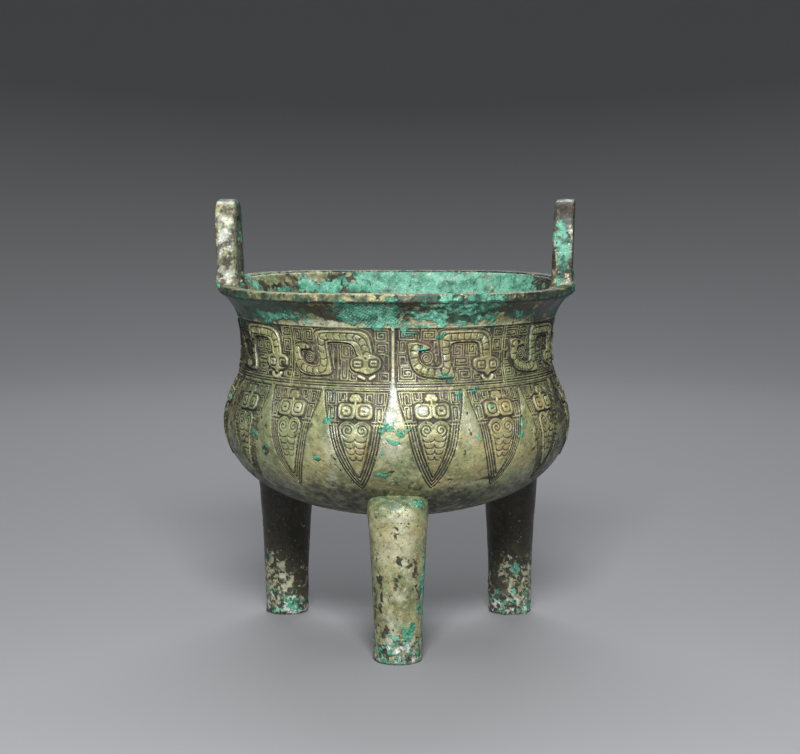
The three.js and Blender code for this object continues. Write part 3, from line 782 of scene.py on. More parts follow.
# Lip and flare: from the mouth's edge over the flat top, down the upright face and the flare to the band.
EDGE = 0.7
lip_line = [(MOUTH_RADIUS + out, LIP_TOP - down) for out, down in ((0, 0.9), (0.25, 0.2), (0.9, 0))]
lip_line += [(r, LIP_TOP) for r in np.linspace(MOUTH_RADIUS + 2, LIP_RADIUS - EDGE, 5)]
for a in (0.5, 1.0, 1.45):
    lip_line.append((LIP_RADIUS - EDGE * (1 - math.sin(a)), LIP_TOP - EDGE * (1 - math.cos(a))))
lip_line += [(LIP_RADIUS, z) for z in np.linspace(LIP_TOP - EDGE - 0.3, LIP_TOP - LIP_FACE + 0.6, 9)]
lip_line.append((LIP_RADIUS - 0.15, LIP_TOP - LIP_FACE + 0.25))
flare_s = np.linspace(LIP_FACE + 0.15, BAND[0], 25)
lip_s = np.concatenate([np.linspace(0, LIP_FACE, len(lip_line)), flare_s])
rz = np.concatenate([lip_line, np.stack(skin.at(flare_s - LIP_FACE), axis=1)])
tangent = np.gradient(rz, axis=0)
tangent /= np.linalg.norm(tangent, axis=1, keepdims=True)
out = np.stack([-tangent[:, 1], tangent[:, 0]], axis=1)
tl, sl = np.meshgrid(THETA, lip_s)
points = place(tl, rz[:, :1], rz[:, 1:])
face = sl < LIP_FACE
# a woven cloth has left its hatching in the crust on the flare
CLOTH = [(-9, 11, 14, 7, 1.0), (-48, 11, 26, 8, 0.55), (150, 10, 20, 6, 1.0), (-140, 11, 16, 6, 1.0)]
MM_PER_DEGREE = 1.4  # about, on the flare
across = tl * MM_PER_DEGREE
thread = 0.5 + 0.5 * np.sin((across * 0.8 + sl * 0.75) * 2 * math.pi / 1.35)
weft = 0.5 + 0.5 * np.sin((across * 0.6 - sl * 0.9) * 2 * math.pi / 1.6)
cloth = unit(spots(tl, sl, CLOTH) * 1.6) * thread * (0.65 + 0.35 * weft)
cloth *= smooth(LIP_FACE, LIP_FACE + 0.8, sl)
ripple = np.sin(np.hypot((tl - 4) * MM_PER_DEGREE, (sl - 16) * 0.8) * 2 * math.pi / 2.4)
folds = spots(tl, sl, [(3.5, 10.5, 3.0, 5.0, 1.0)]) * (0.5 + 0.5 * ripple)
# painted shadow: a dark band from the foot of the lip's upright face to just under it, where the lip
# overhangs the flare
painted_undercut_shadow = smooth(3.3, 4.0, sl) * fall(4.3, 5.4, sl)
eaten = smooth(0.60, 0.74, fractal(points, 2.6, 55, 3)) * smooth(0.8, 2.0, sl)
nodules = grain(points, 2.2, 54, 3)
lumps = spots(tl, sl, [(16, 9, 14, 6, 1.0), (30, 14, 7, 3, 1.0)])
lip = wall_masks(tl, sl, points, PLAIN_TONE)
# painted shade: the lip's colour is darkened away from the front, as on the wall
lip["tone"] = PLAIN_TONE - 0.12 * smooth(44, 72, np.abs(tl)) - 0.5 * cloth - 0.45 * folds - 0.45 * painted_undercut_shadow
lip["tone"] += 0.35 * grain(points, 2.4, 53, 3) + 0.7 * nodules * lumps
lip["tone"] -= face * (0.5 * eaten + 0.1 + 0.1 * smooth(-10, 30, tl))
lip["specks"] = 0.75 + 0.25 * face
lip["dark"] = np.maximum(lip["dark"], 0.55 * painted_undercut_shadow)
lip["teal"] = np.maximum(lip["teal"], 0.5 * face * smooth(1.0, 2.0, sl))
lip["ochre"] = np.maximum(lip["ochre"], 0.4 * smooth(1.8, 2.4, sl) * fall(3.4, 3.9, sl))
lip["pale"] = np.maximum(lip["pale"], lumps * smooth(0.12, 0.3, nodules))
lip_lift = (fractal(points, 9, 51, 4) - 0.5) * 0.5 + blister(points, lip["turquoise"], 52)
lip_lift += 1.5 * unit(nodules - 0.02) * lumps - 0.16 * cloth - 0.22 * folds
# the lip is worn and eaten in places, but stays within the casting's size
amount = np.where(face, np.minimum(0.3 * lip_lift - 0.45 * eaten, 0.0), lip_lift)
join = smooth(BAND[0] - 1.2, BAND[0], sl)
amount = amount * smooth(0, 1.2, sl) * (1 - join) + lift[0][None, :] * join
lip_grid = place(tl, rz[:, :1] + out[:, :1] * amount, rz[:, 1:] + out[:, 1:] * amount)
lip_normals = vertex_normals(lip_grid)
lip_normals[-1] = carved_normals[0]
grid_piece("lip_and_flare", lip_grid, lip, normals=lip_normals)

# The belly's underside.
PLAIN_COLS = 480
plain_theta = -180 + 360 / PLAIN_COLS * np.arange(PLAIN_COLS)
tu, su = np.meshgrid(plain_theta, np.linspace(ROWS[-1] - 0.35, LIP_FACE + skin.length - 0.01, 44))
points = wall_points(tu, su)
under = wall_points(tu, su, casting(points) - 0.03 * fall(98, 99, su))
grid_piece("belly_underside", under, wall_masks(tu, su, points, PLAIN_TONE + dirt(points)))

# The inside, with its stains: degrees from the front, mm down from the mouth, half sizes, strength.
INSIDE_STAINS = {
    "turquoise": [
        (178, 8, 22, 16, 1), (160, 14, 30, 20, 0.95), (130, 9, 18, 12, 0.9), (221, 8, 8, 5, 0.8),
        (208, 10, 9, 6, 0.9), (191, 10, 4, 1.8, 0.9), (247, 10, 8, 8, 0.8), (230, 11, 16, 6, 0.6),
        (214, 9, 6, 3, 0.8), (60, 20, 40, 20, 0.6), (-60, 25, 30, 24, 0.55), (0, 18, 30, 16, 0.6),
        (200, 40, 60, 24, 0.5),
    ],
    "dark": [
        (222, 12, 26, 12, 0.62), (196, 7, 12, 9, 0.75), (120, 4, 14, 4, 0.8), (113, 10, 8, 14, 1),
        (104, 12, 12, 16, 0.9), (229, 10, 3.4, 5, 0.9), (236, 9, 3, 4, 0.95), (204, 5, 4, 3, 0.85),
        (193, 10, 9, 6, 0.9), (241, 6, 5, 3, 0.6), (30, 30, 30, 20, 0.6),
    ],
    "ochre": [(226, 5, 2.4, 2.4, 1), (232, 10, 8, 4, 0.6), (201, 12, 6, 5, 0.5), (90, 30, 60, 30, 0.4)],
    "pale": [
        (160, 2.5, 20, 3, 0.8), (135, 12, 14, 3, 0.6), (216, 5, 4, 3, 0.9), (212, 12, 6, 4, 0.6),
        (199, 4, 4, 2, 0.7), (183, 2, 12, 2, 0.7), (170, 12, 14, 5, 0.5), (144, 8, 2, 5, 0.8),
    ],
}
steps = np.r_[np.linspace(0.01, lining.length - 46, 30), np.linspace(lining.length - 45, lining.length, 44)]
ti, si = np.meshgrid(plain_theta, steps)
ir, iz = lining.at(si)
nr, nz = lining.normal(si)
points = place(ti, ir, iz)
dent = (fractal(points, 12, 61, 4) - 0.5) * 0.7 * fall(lining.length - 3, lining.length - 0.5, si)
iz = np.where(si > lining.length - 0.9, LIP_TOP - 0.9, iz)
depth = lining.length - si
it, idp = ti + 12 * grain(points, 9, 63, 3), depth + 5 * grain(points, 7, 64, 3)
stains = {kind: spots(it, idp, marks) for kind, marks in INSIDE_STAINS.items()}
turquoise = ragged(stains["turquoise"], points, 65, 6, 0.8)
deep = smooth(30, 90, depth)
pale = unit(stains["pale"] + 0.2 * spots(ti, depth, [(165, 8, 50, 14, 1.0)]) + 0.6 * grain(points, 4, 67))
inside_masks = dict(
    tone=0.5 + 0.55 * grain(points, 4, 68, 3),
    turquoise=turquoise * (1 - 0.6 * deep),
    dark=np.maximum(ragged(stains["dark"], points, 66, 5, 0.8), 0.55 * deep),
    teal=0.45 * deep + 0.3 * (turquoise > 0.4),
    ochre=stains["ochre"],
    pale=pale,
    frost_and_highlight=0.35 * pale,
    green=unit(0.5 + grain(points, 9, 69)),
    gloss=0.1,
    earth=0.3,
    specks=0.6,
    malachite=0,
)
grid_piece("bowl_inside", place(ti, ir - nr * dent, iz - nz * dent), inside_masks, flip=True)


# ---------------------------------------------------------------- legs and handles

# Stains on the legs, with painted shadow on the back legs' tops among them: degrees round the leg as seen
# from the front, height, half sizes, strength.
LEG_STAINS = {
    "front": {
        "turquoise": [
            (22, 14.5, 22, 3.6, 1), (68, 34, 12, 20, 0.95), (36, 75.5, 20, 2.2, 1), (50, 24, 10, 6, 0.6),
            (-10, 8, 16, 3, 0.6),
        ],
        "malachite": [
            (20, 15.5, 18, 2.6, 0.95), (30, 5, 24, 2.4, 0.7), (40, 75, 12, 1.4, 0.8),
            (-30, 2.5, 30, 1.6, 0.6),
        ],
        "dark": [
            (-42, 37, 11, 5.5, 1), (-46, 30, 8, 6, 0.95), (-52, 50, 7, 3, 0.85), (38, 42, 8, 6, 0.8),
            (48, 33, 6, 7, 0.8), (-30, 7, 30, 4, 0.9), (3, 49, 8, 3, 0.75), (-4, 62, 6, 3.4, 0.75),
            (2, 39, 11, 4, 0.7), (16, 10, 34, 1.6, 0.8), (-40, 15, 14, 4, 0.7), (26, 48, 8, 3, 0.6),
            (-66, 22, 8, 20, 0.6),
        ],
        "ochre": [
            (-28, 57, 22, 7, 0.95), (-24, 53, 10, 4, 0.8), (-6, 30, 22, 12, 0.5), (0, 5, 14, 1.8, 1),
            (36, 62, 22, 8, 0.6), (6, 22, 22, 5, 0.5),
        ],
        "pale": [
            (4, 31.5, 15, 3.6, 1), (12, 53, 34, 10, 0.6), (-22, 20, 18, 6, 0.8), (-10, 68, 50, 2.6, 0.9),
            (-24, 13, 10, 4, 0.8), (16, 70, 12, 3, 0.7),
        ],
        "frost_and_highlight": [(12, 6.5, 30, 4, 0.9), (30, 3, 26, 2.4, 0.7)],
    },
    "left": {
        "turquoise": [(18, 7.5, 22, 3.6, 1), (0, 2.6, 50, 2, 0.9), (-52, 30, 9, 2.4, 0.6)],
        "malachite": [(16, 8, 22, 3.4, 1), (26, 10.5, 10, 2, 0.9), (-18, 3, 30, 2, 0.8)],
        # painted shadow: the first dark mark darkens the leg's top, under the bowl
        "dark": [(0, 60, 90, 20, 1), (8, 12.5, 14, 2, 0.9), (0, 0.8, 90, 1.2, 0.8)],
        "pale": [(-10, 18, 30, 6, 0.8), (-44, 10, 14, 3, 0.6)],
        "frost_and_highlight": [(-40, 10.5, 9, 3, 1), (-46, 31, 8, 2.6, 0.75), (0, 3.4, 26, 2, 0.8)],
        "ochre": [(-30, 15, 20, 4, 0.5)],
    },
    "right": {
        "turquoise": [
            (14, 22, 12, 4.5, 0.8), (44, 3.5, 20, 2.6, 0.7), (-50, 26, 8, 6, 0.5), (10, 12, 10, 2.2, 0.6),
        ],
        "malachite": [(20, 3, 24, 2, 0.6)],
        # painted shadow: the first dark mark darkens the leg's top, under the bowl
        "dark": [(0, 62, 90, 20, 1), (-30, 34, 16, 8, 0.7)],
        "pale": [(0, 26, 40, 12, 0.7), (-10, 10, 30, 7, 0.8)],
        "frost_and_highlight": [(-20, 8, 24, 5, 0.5), (20, 15, 12, 4, 0.5)],
        "ochre": [(-10, 18, 26, 6, 0.5)],
    },
}
# Stains on the handles' near faces, with a painted shadow and a painted highlight on the right one: place
# across the bar (six for a mm), height, half sizes, strength.
HANDLE_STAINS = {
    "left": {
        "frost_and_highlight": [
            (34, 193.5, 22, 5, 1), (26, 187.5, 10, 2.2, 0.9), (52, 190, 10, 8, 0.8),
            (34, 175.5, 22, 3.4, 0.85),
        ],
        "pale": [(34, 195, 26, 9, 0.9), (30, 175, 26, 5, 1), (10, 171.5, 10, 3, 0.9)],
        "dark": [
            (34, 182, 20, 5.5, 0.62), (50, 171, 14, 2.4, 0.8), (-4, 186, 6, 22, 0.8), (36, 195, 5, 5, 0.4),
            (58, 208, 10, 3, 0.5),
        ],
        "green": [(30, 204, 34, 5, 1), (60, 184, 5, 20, 0.8)],
        "ochre": [(56, 207.5, 12, 2.4, 0.9), (12, 171, 8, 3, 0.5)],
        "turquoise": [(58, 169, 14, 2.6, 0.9)],
    },
    "right": {
        "turquoise": [(20, 191, 26, 9, 1), (26, 183, 22, 7, 1), (20, 176.5, 8, 4, 0.95), (8, 172, 9, 4, 1)],
        # white crust, with a painted highlight in the first two marks, at the upper right
        "frost_and_highlight": [
            (46, 195.5, 12, 4, 1), (44, 188, 8, 3, 0.8), (38, 172, 16, 1.8, 0.6), (8, 172.5, 8, 3, 0.6),
            (36, 178.5, 4, 2, 0.9),
        ],
        "dark": [
            # painted shade: the strip at 64 across darkens the bar's rounded outer corner
            (40, 206, 54, 8, 1), (64, 190, 9, 30, 1), (46, 177, 15, 5, 0.95), (-2, 181, 8, 6, 0.9),
            (30, 200, 24, 2, 0.8),
        ],
        "green": [(4, 202, 10, 4, 1)],
        "ochre": [(24, 184.5, 12, 0.9, 1), (40, 174, 10, 2, 0.6)],
        "pale": [(20, 190, 34, 10, 1), (8, 173, 9, 4, 0.8)],
    },
}


def leg(name, azimuth, reach, foot, girth, seed):
    """A leg, flat on its inner side, whose shoulder draws in to end inside the bowl's wall."""
    cols = 96
    rise = SHOULDER_TOP - SHOULDER_HEIGHT
    steps = np.linspace(FOOT_ROUNDING * 1.2, SHOULDER_HEIGHT, 90)
    z = np.r_[0.0, 0.12, 0.45, 0.9, steps, SHOULDER_HEIGHT + rise * np.linspace(0.08, 1, 14)]
    radius = foot + (girth - foot) * (np.minimum(z, SHOULDER_HEIGHT) / SHOULDER_HEIGHT) ** LEG_SWELL
    radius -= FOOT_ROUNDING * (1 - np.sqrt(1 - unit(1 - z / FOOT_ROUNDING) ** 2))
    drawn = 1 - np.sqrt(1 - unit((z - SHOULDER_HEIGHT) / rise) ** 2)
    pf, zf = np.meshgrid(2 * math.pi * np.arange(cols) / cols, z)
    rf = (radius - 2 * drawn)[:, None]
    # the flat inner side, with a soft corner
    corner = 0.9
    outward = corner * np.logaddexp(0, rf * (np.cos(pf) + LEG_FLAT) / corner) - LEG_FLAT * rf
    outward = np.minimum(outward, rf * np.cos(pf) + 0.35)
    raw = np.stack([rf * np.sin(pf), -((reach - SHOULDER_REACH * drawn)[:, None] + outward), zf], axis=-1)
    a = math.radians(azimuth)
    local = raw @ np.array([[math.cos(a), math.sin(a), 0], [-math.sin(a), math.cos(a), 0], [0, 0, 1]])
    rough = smooth(22, 6, zf) if name == "front" else smooth(24, 10, zf)
    amount = (fractal(local, 14, seed, 3) - 0.5) * 0.7 * smooth(0, 4, zf)
    amount += rough * smooth(0.5, 2.5, zf) * (fractal(local, 2.6, seed + 1, 3) - 0.55) * 1.3
    chips = unit(fractal(local, 5, seed + 2, 3) - 0.62) * 6 * smooth(9, 1.5, zf) * smooth(0.0, 0.5, zf)
    amount = np.minimum(amount - chips, 0.12) * (1 - smooth(SHOULDER_HEIGHT + 2, SHOULDER_TOP, zf) * 0.6)
    grid = local + vertex_normals(local) * amount[..., None]
    # the shoulder ends inside the bowl's wall, and nothing of it comes through to the inside
    from_axis = np.hypot(grid[..., 0], grid[..., 1])
    order = np.argsort(lining.points[:, 0])
    ceiling = np.interp(from_axis, *lining.points[order].T) - 1.6
    under_bowl = from_axis < BELLY_RADIUS - WALL - 1
    grid[..., 2] = np.maximum(np.where(under_bowl, np.minimum(grid[..., 2], ceiling), grid[..., 2]), 0.0)
    grid[0, :, 2] = 0.0
    mid = local.mean(axis=1, keepdims=True)
    # degrees round the leg, as seen from the front
    view = np.degrees(np.arctan2(local[..., 0] - mid[..., 0], mid[..., 1] - local[..., 1]))
    va, vz = view + 26 * grain(local, 6, seed + 3), zf + 4 * grain(local, 5, seed + 4)
    mottle, blotch = grain(local, 3.0, seed + 5), grain(local, 9.0, seed + 6)
    crust = smooth(17, 8, zf + 9 * blotch)
    marks = LEG_STAINS[name]
    stain = {kind: spots(va, vz, marks.get(kind, [])) for kind in LAYERS["growth"] + LAYERS["tint"]}
    if name == "front":
        edge = 71.0 + 3.0 * np.sin(np.radians(view * 3.4 + 40)) + 3.2 * blotch
        collar = smooth(-0.5, 0.6, zf - edge)
        dark = ragged(np.maximum(0.9 * stain["dark"], 0.10 + 0.3 * crust), local, seed + 7, 2.2)
        turquoise = ragged(np.maximum(stain["turquoise"], 0.42 * crust), local, seed + 8, 2.0, 1.2)
        ochre = unit(np.maximum(stain["ochre"], 0.30 + 0.3 * crust) + 0.7 * mottle) * (1 - collar)
        pale = unit(np.maximum(0.8 * stain["pale"], 0.06 + 0.3 * crust) + 0.9 * grain(local, 5, seed + 9))
        pale *= 1 - 0.9 * collar
        green = np.maximum(unit(0.6 + 1.2 * blotch + 0.8 * mottle + 0.3 * smooth(40, 20, zf)), collar)
        teal = 0.34 * collar + 0.5 * stain["dark"]
    else:
        # painted shadow of the bowl: these legs are darker, less pale and a little teal towards their tops
        upper = smooth(16, 46, zf + 8 * blotch)
        dark = ragged(np.maximum(stain["dark"], 0.46 + 0.5 * upper), local, seed + 7, 1.5, 0.9)
        turquoise = ragged(stain["turquoise"], local, seed + 8, 2.6, 0.8)
        ochre = unit(stain["ochre"] + 0.7 * mottle)
        pale = unit(np.maximum(stain["pale"], 0.55 * (1 - upper)) + 1.1 * grain(local, 2.6, seed + 9))
        pale *= 1 - 0.7 * upper
        green = unit(0.5 + 1.2 * blotch)
        teal = 0.2 * upper
    # painted shade: the side of each leg that faces in under the bowl is darkened
    back = smooth(100, 150, np.abs(turned(view - (0 if name == "front" else azimuth))))
    bloom = 0.55 * np.maximum(stain["frost_and_highlight"], 0.5 * crust)
    masks = dict(
        tone=PLAIN_TONE + 0.35 * mottle + 0.25 * grain(local, 1.4, seed + 13, 2) - 0.15 * crust,
        turquoise=turquoise,
        dark=np.maximum(dark, 0.6 * back),
        teal=teal,
        malachite=ragged(np.maximum(stain["malachite"], 0.35 * crust), local, seed + 11, 2.2, 1.1),
        ochre=ochre,
        pale=pale,
        green=green,
        frost_and_highlight=unit(bloom + 0.9 * grain(local, 1.6, seed + 12, 3)) * smooth(0.05, 0.3, bloom),
        gloss=0.25,
        earth=0.4,
        specks=0.8,
    )
    grid_piece(f"leg_{name}", grid, masks, flip=True, closed_foot=True)


def handle(name, side, askew, seed):
    """A handle: a bar bent over an arch, that leans out from the lip and stands a little askew."""
    # the bar's middle line from root to root: across, height, and the way out of the arch
    half, top = (HANDLE_WIDTH - HANDLE_BAR) / 2, HANDLE_TOP - HANDLE_BAR / 2 - 0.05
    corner = HANDLE_CORNER - HANDLE_BAR / 2
    straight = np.linspace(LIP_TOP - HANDLE_ROOT, top - corner, 46)
    arc = np.linspace(0, math.pi / 2, 16)
    path = [(-half, z, math.pi) for z in straight]
    bend = [
        (half - corner * (1 - math.sin(a)), top - corner * (1 - math.cos(a)), math.pi / 2 - a) for a in arc
    ]
    path += [(-u, z, math.pi - facing) for u, z, facing in bend[-2::-1]]
    path += [(u, top, math.pi / 2) for u in np.linspace(-half + corner, half - corner, 6)[1:-1]]
    path += bend + [(half, z, 0.0) for z in straight[-2::-1]]
    # the bar's section: away from the arch's middle, and inwards from its outer face
    ring = []
    for r, way, at, start in ((0.7, 1, 0, -90), (2.4, 1, 1, 0), (1.5, -1, 1, 90), (1.5, -1, 0, 180)):
        cx, cy = way * (HANDLE_BAR / 2 - r), HANDLE_DEPTH - r if at else r
        quarter = np.radians(np.linspace(start, start + 90, 5))
        ring += [(cx + r * math.cos(a), cy + r * math.sin(a)) for a in quarter]
    # fill the straight sides so that their surface can be uneven
    dense = []
    for p, q in zip(np.array(ring), np.roll(ring, -1, axis=0)):
        n = max(1, int(np.linalg.norm(q - p) / 1.0))
        dense += [p + (q - p) * i / n for i in range(n)]
    away, inward = np.array(dense).T[:, None, :]
    u, z, facing = np.array(path).T[:, :, None]
    # the bar thickens where it runs into the lip
    away = away * (1 + 0.16 * np.exp(-np.maximum(z - LIP_TOP, 0) / 2.2))
    high = z + away * np.sin(facing)
    outer = HANDLE_OUTER + (high - LIP_TOP) * math.tan(math.radians(HANDLE_LEAN))
    outer = outer - unit((LIP_TOP - 0.5 - z) / HANDLE_ROOT) * HANDLE_ROOT_DRAW
    bulge = 0.9 * np.exp(-(((high - LIP_TOP - 1.5) / 3.0) ** 2)) * smooth(5, 0, inward)
    y = side * (u + away * np.cos(facing))
    x = side * (outer + bulge - inward) + y * math.tan(math.radians(askew))
    points = np.stack([x, y, high + 0 * inward], axis=-1)
    n = vertex_normals(points)
    d = (fractal(points, 10, seed, 3) - 0.5) * 0.7
    if side > 0:
        d = d + (fractal(points, 1.8, seed + 1, 3) - 0.5) * 0.5 * smooth(0, -8, y) * smooth(200, 196, high)
    sign = np.sign(((points - points.mean(axis=1, keepdims=True)) * n).sum(-1).mean())
    points = points + sign * n * np.minimum(d, 0.1)[..., None]
    near = smooth(-7.5, -10.5, y)  # the limb nearest the front
    blotch, mottle = grain(points, 7, seed + 2), grain(points, 2.2, seed + 3)
    across = (np.abs(x) - 75) * 6  # stretched to the marks' measure
    wz, wx = high + 3 * grain(points, 4, seed + 4), across + 14 * grain(points, 4, seed + 5)
    marks = HANDLE_STAINS[name]
    stain = {kind: near * spots(wx, wz, marks.get(kind, [])) for kind in LAYERS["growth"] + LAYERS["tint"]}
    bloom = 0.7 * stain["frost_and_highlight"]
    # dark marks, tarnish and the right handle's painted corner shade, darken the tone and dull the gloss
    tarnish_and_shade = smooth(0.4, 0.9, stain["dark"])
    masks = dict(
        tone=0.42 - 0.2 * tarnish_and_shade + 0.45 * mottle + 0.3 * grain(points, 1.2, seed + 8, 2),
        turquoise=ragged(np.maximum(stain["turquoise"], 0.42 * (1 - near)), points, seed + 6, 3.4),
        dark=ragged(np.maximum(stain["dark"], 0.62 * (1 - near)), points, seed + 7, 3.4, 0.7),
        teal=0.4 * (1 - near),
        malachite=0,
        ochre=unit(stain["ochre"] + 0.4 * blotch),
        pale=unit(np.maximum(stain["pale"], 0.1) + 0.5 * mottle),
        green=unit(np.maximum(stain["green"], 0.7) + blotch),
        frost_and_highlight=unit(bloom + 0.55 * mottle) * smooth(0.05, 0.4, bloom),
        gloss=(0.4 + 0.5 * bloom) * (1 - 0.8 * tarnish_and_shade),
        earth=0.7,
        specks=1,
    )
    grid_piece(f"handle_{name}", points, masks, flip=sign > 0)


for name, facts in LEGS.items():
    leg(name, *facts)
for name, facts in HANDLES.items():
    handle(name, *facts)


# ---------------------------------------------------------------- the patina


def linear(rgb):
    """A colour as the renderer takes it, from sRGB values up to 255."""
    parts = [v / 255 for v in rgb]
    return (*(c / 12.92 if c <= 0.04045 else ((c + 0.055) / 1.055) ** 2.4 for c in parts), 1.0)


def patina():
    material = bpy.data.materials.new("patinated_bronze")
    material.use_nodes = True
    nodes, links = material.node_tree.nodes, material.node_tree.links
    nodes.clear()

    def node(kind, inputs=(), **settings):
        made_node = nodes.new("ShaderNode" + kind)
        for key, value in settings.items():
            setattr(made_node, key, value)
        for socket, value in inputs:
            if isinstance(value, bpy.types.NodeSocket):
                links.new(value, made_node.inputs[socket])
            else:
                made_node.inputs[socket].default_value = value
        return made_node

    def channels(layer):
        attribute = node("Attribute", attribute_name=layer)
        split = node("SeparateColor", [("Color", attribute.outputs["Color"])])
        return *split.outputs[:3], attribute.outputs["Alpha"]

    coords = node("TexCoord").outputs["Object"]
    relief, gloss, earth, specks = channels("relief")
    turquoise, dark, teal, malachite = channels("growth")
    ochre, pale, green, frost_and_highlight = channels("tint")

    def texture(size_mm, detail, roughness, distortion=0.0, seed=0.0):
        mapping = node("Mapping", [("Vector", coords), ("Location", (seed, seed * 0.7, -seed))])
        inputs = [("Vector", mapping.outputs[0]), ("Scale", 1 / (size_mm * MM)), ("Detail", detail)]
        inputs += [("Roughness", roughness), ("Distortion", distortion)]
        return node("TexNoise", inputs).outputs["Fac"]

    def op(kind, a, b, clamp=False):
        return node("Math", enumerate((a, b)), operation=kind, use_clamp=clamp).outputs[0]

    def times(a, b):
        return op("MULTIPLY", a, b)

    def remap(value, a, b, c=0.0, d=1.0, kind="SMOOTHSTEP"):
        return node("MapRange", enumerate((value, a, b, c, d)), interpolation_type=kind).outputs[0]

    def mix(factor, a, b):
        a, b = (linear(c) if isinstance(c, tuple) else c for c in (a, b))
        return node("Mix", [(0, factor), (6, a), (7, b)], data_type="RGBA").outputs[2]

    def layers(base, *above):
        """Colours laid one over another; each is (amount, colour, greatest amount)."""
        for amount, colour, most in above:
            base = mix(times(amount, most), base, colour)
        return base

    def broken(mask, roughening, spread, edge=0.07, at=0.5):
        """A mask whose edge is broken up by noise."""
        moved = op("ADD", mask, times(op("SUBTRACT", roughening, 0.5), spread))
        return remap(moved, at - edge, at + edge)

    broad = texture(38, 4, 0.6)
    medium = texture(11, 6, 0.68, 0.6, 3.1)
    small = texture(4.2, 5, 0.68, 0.4, 5.3)
    fine = texture(1.9, 4, 0.7, 0.2, 8.9)
    grit = texture(0.75, 3, 0.7, 0.0, 12.7)

    grey_green = mix(remap(small, 0.4, 0.62), (124, 140, 104), (84, 102, 76))
    orange = mix(remap(medium, 0.4, 0.6), (190, 164, 110), (170, 130, 80))
    dark_soil = mix(remap(small, 0.4, 0.6), (28, 26, 22), (54, 49, 41))
    pink_soil = mix(remap(small, 0.4, 0.6), (52, 42, 39), (96, 82, 75))
    metal = layers(
        # bare bronze: olive, with cream, brown and grey-green worn through one another
        mix(remap(broad, 0.38, 0.62), (124, 127, 84), (164, 164, 114)),
        (remap(medium, 0.50, 0.64), (112, 124, 88), 0.75),
        (remap(medium, 0.46, 0.36), (186, 182, 134), 0.6),
        (remap(small, 0.53, 0.66), (84, 88, 58), 0.7),
        (remap(small, 0.44, 0.34), (196, 194, 150), 0.5),
        (times(green, remap(medium, 0.30, 0.58, 0.3, 1.0)), grey_green, 0.85),
        (times(ochre, remap(small, 0.34, 0.62, 0.25, 1.0)), orange, 0.68),
        (times(pale, remap(small, 0.30, 0.60, 0.9, 0.4)), (217, 217, 198), 1.0),
        # crests rubbed light, grooves full of earth
        (remap(relief, 0.70, 0.98), (210, 206, 172), 0.65),
        (remap(relief, 0.62, 0.20), mix(earth, dark_soil, pink_soil), 1.0),
        # fine specks, dark and light
        (times(remap(fine, 0.575, 0.64), specks), (54, 54, 36), 0.9),
        (times(remap(fine, 0.42, 0.36), specks), (214, 208, 172), 0.6),
        (remap(grit, 0.60, 0.68), (70, 68, 48), 0.45),
    )
    brown = layers(
        mix(remap(small, 0.42, 0.6), (27, 25, 20), (60, 54, 41)),
        (remap(fine, 0.58, 0.66), (116, 112, 80), 0.7),
    )
    deep_teal = layers(
        mix(remap(small, 0.42, 0.60), (24, 48, 42), (52, 92, 78)),
        (remap(fine, 0.58, 0.68), (100, 142, 120), 0.5),
    )
    crust = layers(
        mix(remap(medium, 0.40, 0.60), (54, 124, 100), (104, 178, 150)),
        (remap(small, 0.50, 0.62), (36, 88, 70), 0.85),
        (pale, (138, 202, 176), 0.7),
        (remap(fine, 0.46, 0.36), (168, 214, 192), 0.75),
        (remap(grit, 0.54, 0.62), (26, 60, 46), 0.55),
        (remap(relief, 0.46, 0.14), (28, 76, 62), 0.75),
    )
    crystal = mix(remap(fine, 0.42, 0.58), (28, 92, 68), (84, 168, 134))
    white = mix(remap(small, 0.42, 0.58), (226, 230, 222), (170, 178, 164))
    crusted = times(broken(turquoise, fine, 1.3, 0.08), broken(turquoise, small, 1.0, 0.2, 0.42))
    crusted = times(crusted, remap(relief, 0.02, 0.42, 0.35, 1.0))
    gem = broken(malachite, fine, 1.4, 0.08)
    # white frost, and the painted highlight that this channel carries on the seam, the blades' eyes and the
    # right handle
    rime_and_highlight = broken(frost_and_highlight, fine, 1.6, 0.16)
    pit = remap(texture(2.3, 2, 0.5, 0.0, 17.0), 0.68, 0.73)
    colour = layers(
        metal,
        (broken(dark, small, 1.5, 0.10), brown, 0.94),
        (broken(teal, medium, 1.5, 0.16), deep_teal, 0.86),
        (crusted, crust, 1.0),
        (gem, crystal, 0.92),
        (rime_and_highlight, white, 0.9),
        (pit, (34, 40, 30), 0.8),
    )

    grown = op("MAXIMUM", op("MAXIMUM", crusted, gem), times(rime_and_highlight, 0.6))
    bare = op("SUBTRACT", 1.0, grown, True)
    rough = op("SUBTRACT", remap(small, 0.35, 0.65, 0.36, 0.58, "LINEAR"), times(gloss, 0.24))
    rough = op("ADD", rough, times(grown, 0.30))
    rough = op("ADD", rough, remap(relief, 0.5, 0.1, 0.0, 0.28), True)
    raised = times(small, 0.35)
    for source, share in ((fine, 0.5), (grit, 0.22), (times(grown, fine), 0.9), (crusted, 0.15), (pit, -0.6)):
        raised = op("ADD", raised, times(source, share))
    bump = node("Bump", [("Strength", 0.8), ("Distance", 0.9 * MM), ("Height", raised)])
    shader = node(
        "BsdfPrincipled",
        [
            ("Base Color", colour),
            ("Metallic", times(bare, remap(relief, 0.3, 0.8, 0.0, 0.25))),
            ("Roughness", rough),
            ("Normal", bump.outputs["Normal"]),
            # a thin, hard film over all of it gives the neutral sheen
            ("Coat Weight", 0.12),
            ("Coat Roughness", 0.28),
        ],
    )
    node("OutputMaterial", [("Surface", shader.outputs["BSDF"])])
    return material


bronze = patina()
for piece in made:
    piece.data.materials.clear()
    piece.data.materials.append(bronze)


# ---------------------------------------------------------------- floor, light and camera, in metres


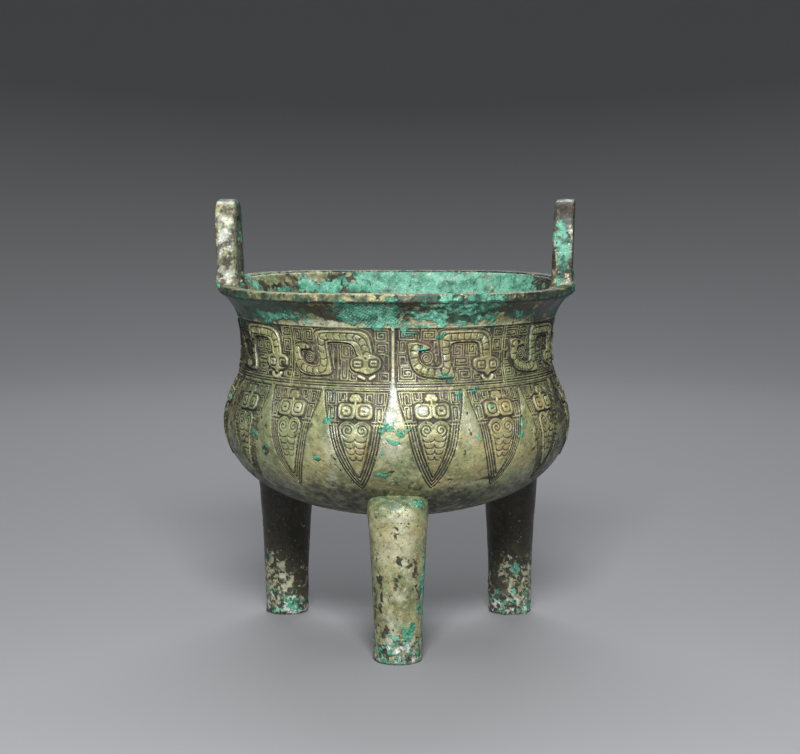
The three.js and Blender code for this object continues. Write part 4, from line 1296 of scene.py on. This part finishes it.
def floor():
    """A round floor that bends up into a wall on every side, so that the vessel can be seen from anywhere."""
    mesh = bpy.data.meshes.new("floor")
    reach, bend, wall_height, count = 2.3, 1.2, 4.5, 96
    arc = np.linspace(0, math.pi / 2, 15)
    profile = [(reach - bend + bend * math.sin(a), bend - bend * math.cos(a)) for a in arc]
    profile.append((reach, wall_height))
    turns = [2 * math.pi * i / count for i in range(count)]
    points = [(r * math.sin(a), -r * math.cos(a), z) for r, z in profile for a in turns]
    faces = [tuple(range(count))]
    for start in range(0, len(points) - count, count):
        for i in range(count):
            a, b = start + i, start + (i + 1) % count
            faces.append((a, a + count, b + count, b))
    mesh.from_pydata(points, [], faces)
    mesh.polygons.foreach_set("use_smooth", np.ones(len(mesh.polygons), bool))
    material = bpy.data.materials.new("pale_floor")
    material.use_nodes = True
    inputs = material.node_tree.nodes["Principled BSDF"].inputs
    inputs["Base Color"].default_value = (0.27, 0.27, 0.28, 1)
    inputs["Roughness"].default_value = 0.85
    inputs["Specular IOR Level"].default_value = 0.2
    mesh.materials.append(material)
    put("floor", mesh)


floor()

AIM = (0, 0, 0.12)
# name, place, size, power, tint
for name, where, size, power, tint in (
    ("key", (0.0, -0.80, 0.64), (0.28, 0.22), 14.0, (0.98, 0.995, 1.0)),
    ("overhead", (-0.05, -0.15, 1.35), (0.7, 0.6), 1.8, (1.0, 1.0, 1.0)),
    ("back", (0.0, 0.95, 1.15), (0.9, 0.6), 13.0, (0.96, 0.98, 1.0)),
):
    data = bpy.data.lights.new(name, "AREA")
    data.shape = "RECTANGLE"
    data.size, data.size_y = size
    data.energy = power
    data.color = tint
    lamp = put(name, data)
    lamp.location = where
    lamp.rotation_euler = (Vector(AIM) - Vector(where)).to_track_quat("-Z", "Y").to_euler()

scene = bpy.context.scene
scene.world = bpy.data.worlds.new("soft_room")
scene.world.use_nodes = True
background = scene.world.node_tree.nodes["Background"].inputs
background["Color"].default_value = (0.80, 0.82, 0.86, 1)
background["Strength"].default_value = 0.035
scene.view_settings.view_transform = "Standard"

CAMERA_PLACE = (0.0016, -0.969, 0.2368)
CAMERA_PITCH = 6.658  # degrees below level
camera_data = bpy.data.cameras.new("camera")
camera_data.sensor_width = 36.0
camera_data.lens = 90.2
camera_data.clip_start = 0.01
camera = put("camera", camera_data)
camera.location = CAMERA_PLACE
camera.rotation_euler = (math.radians(90 - CAMERA_PITCH), 0, 0)
scene.camera = camera
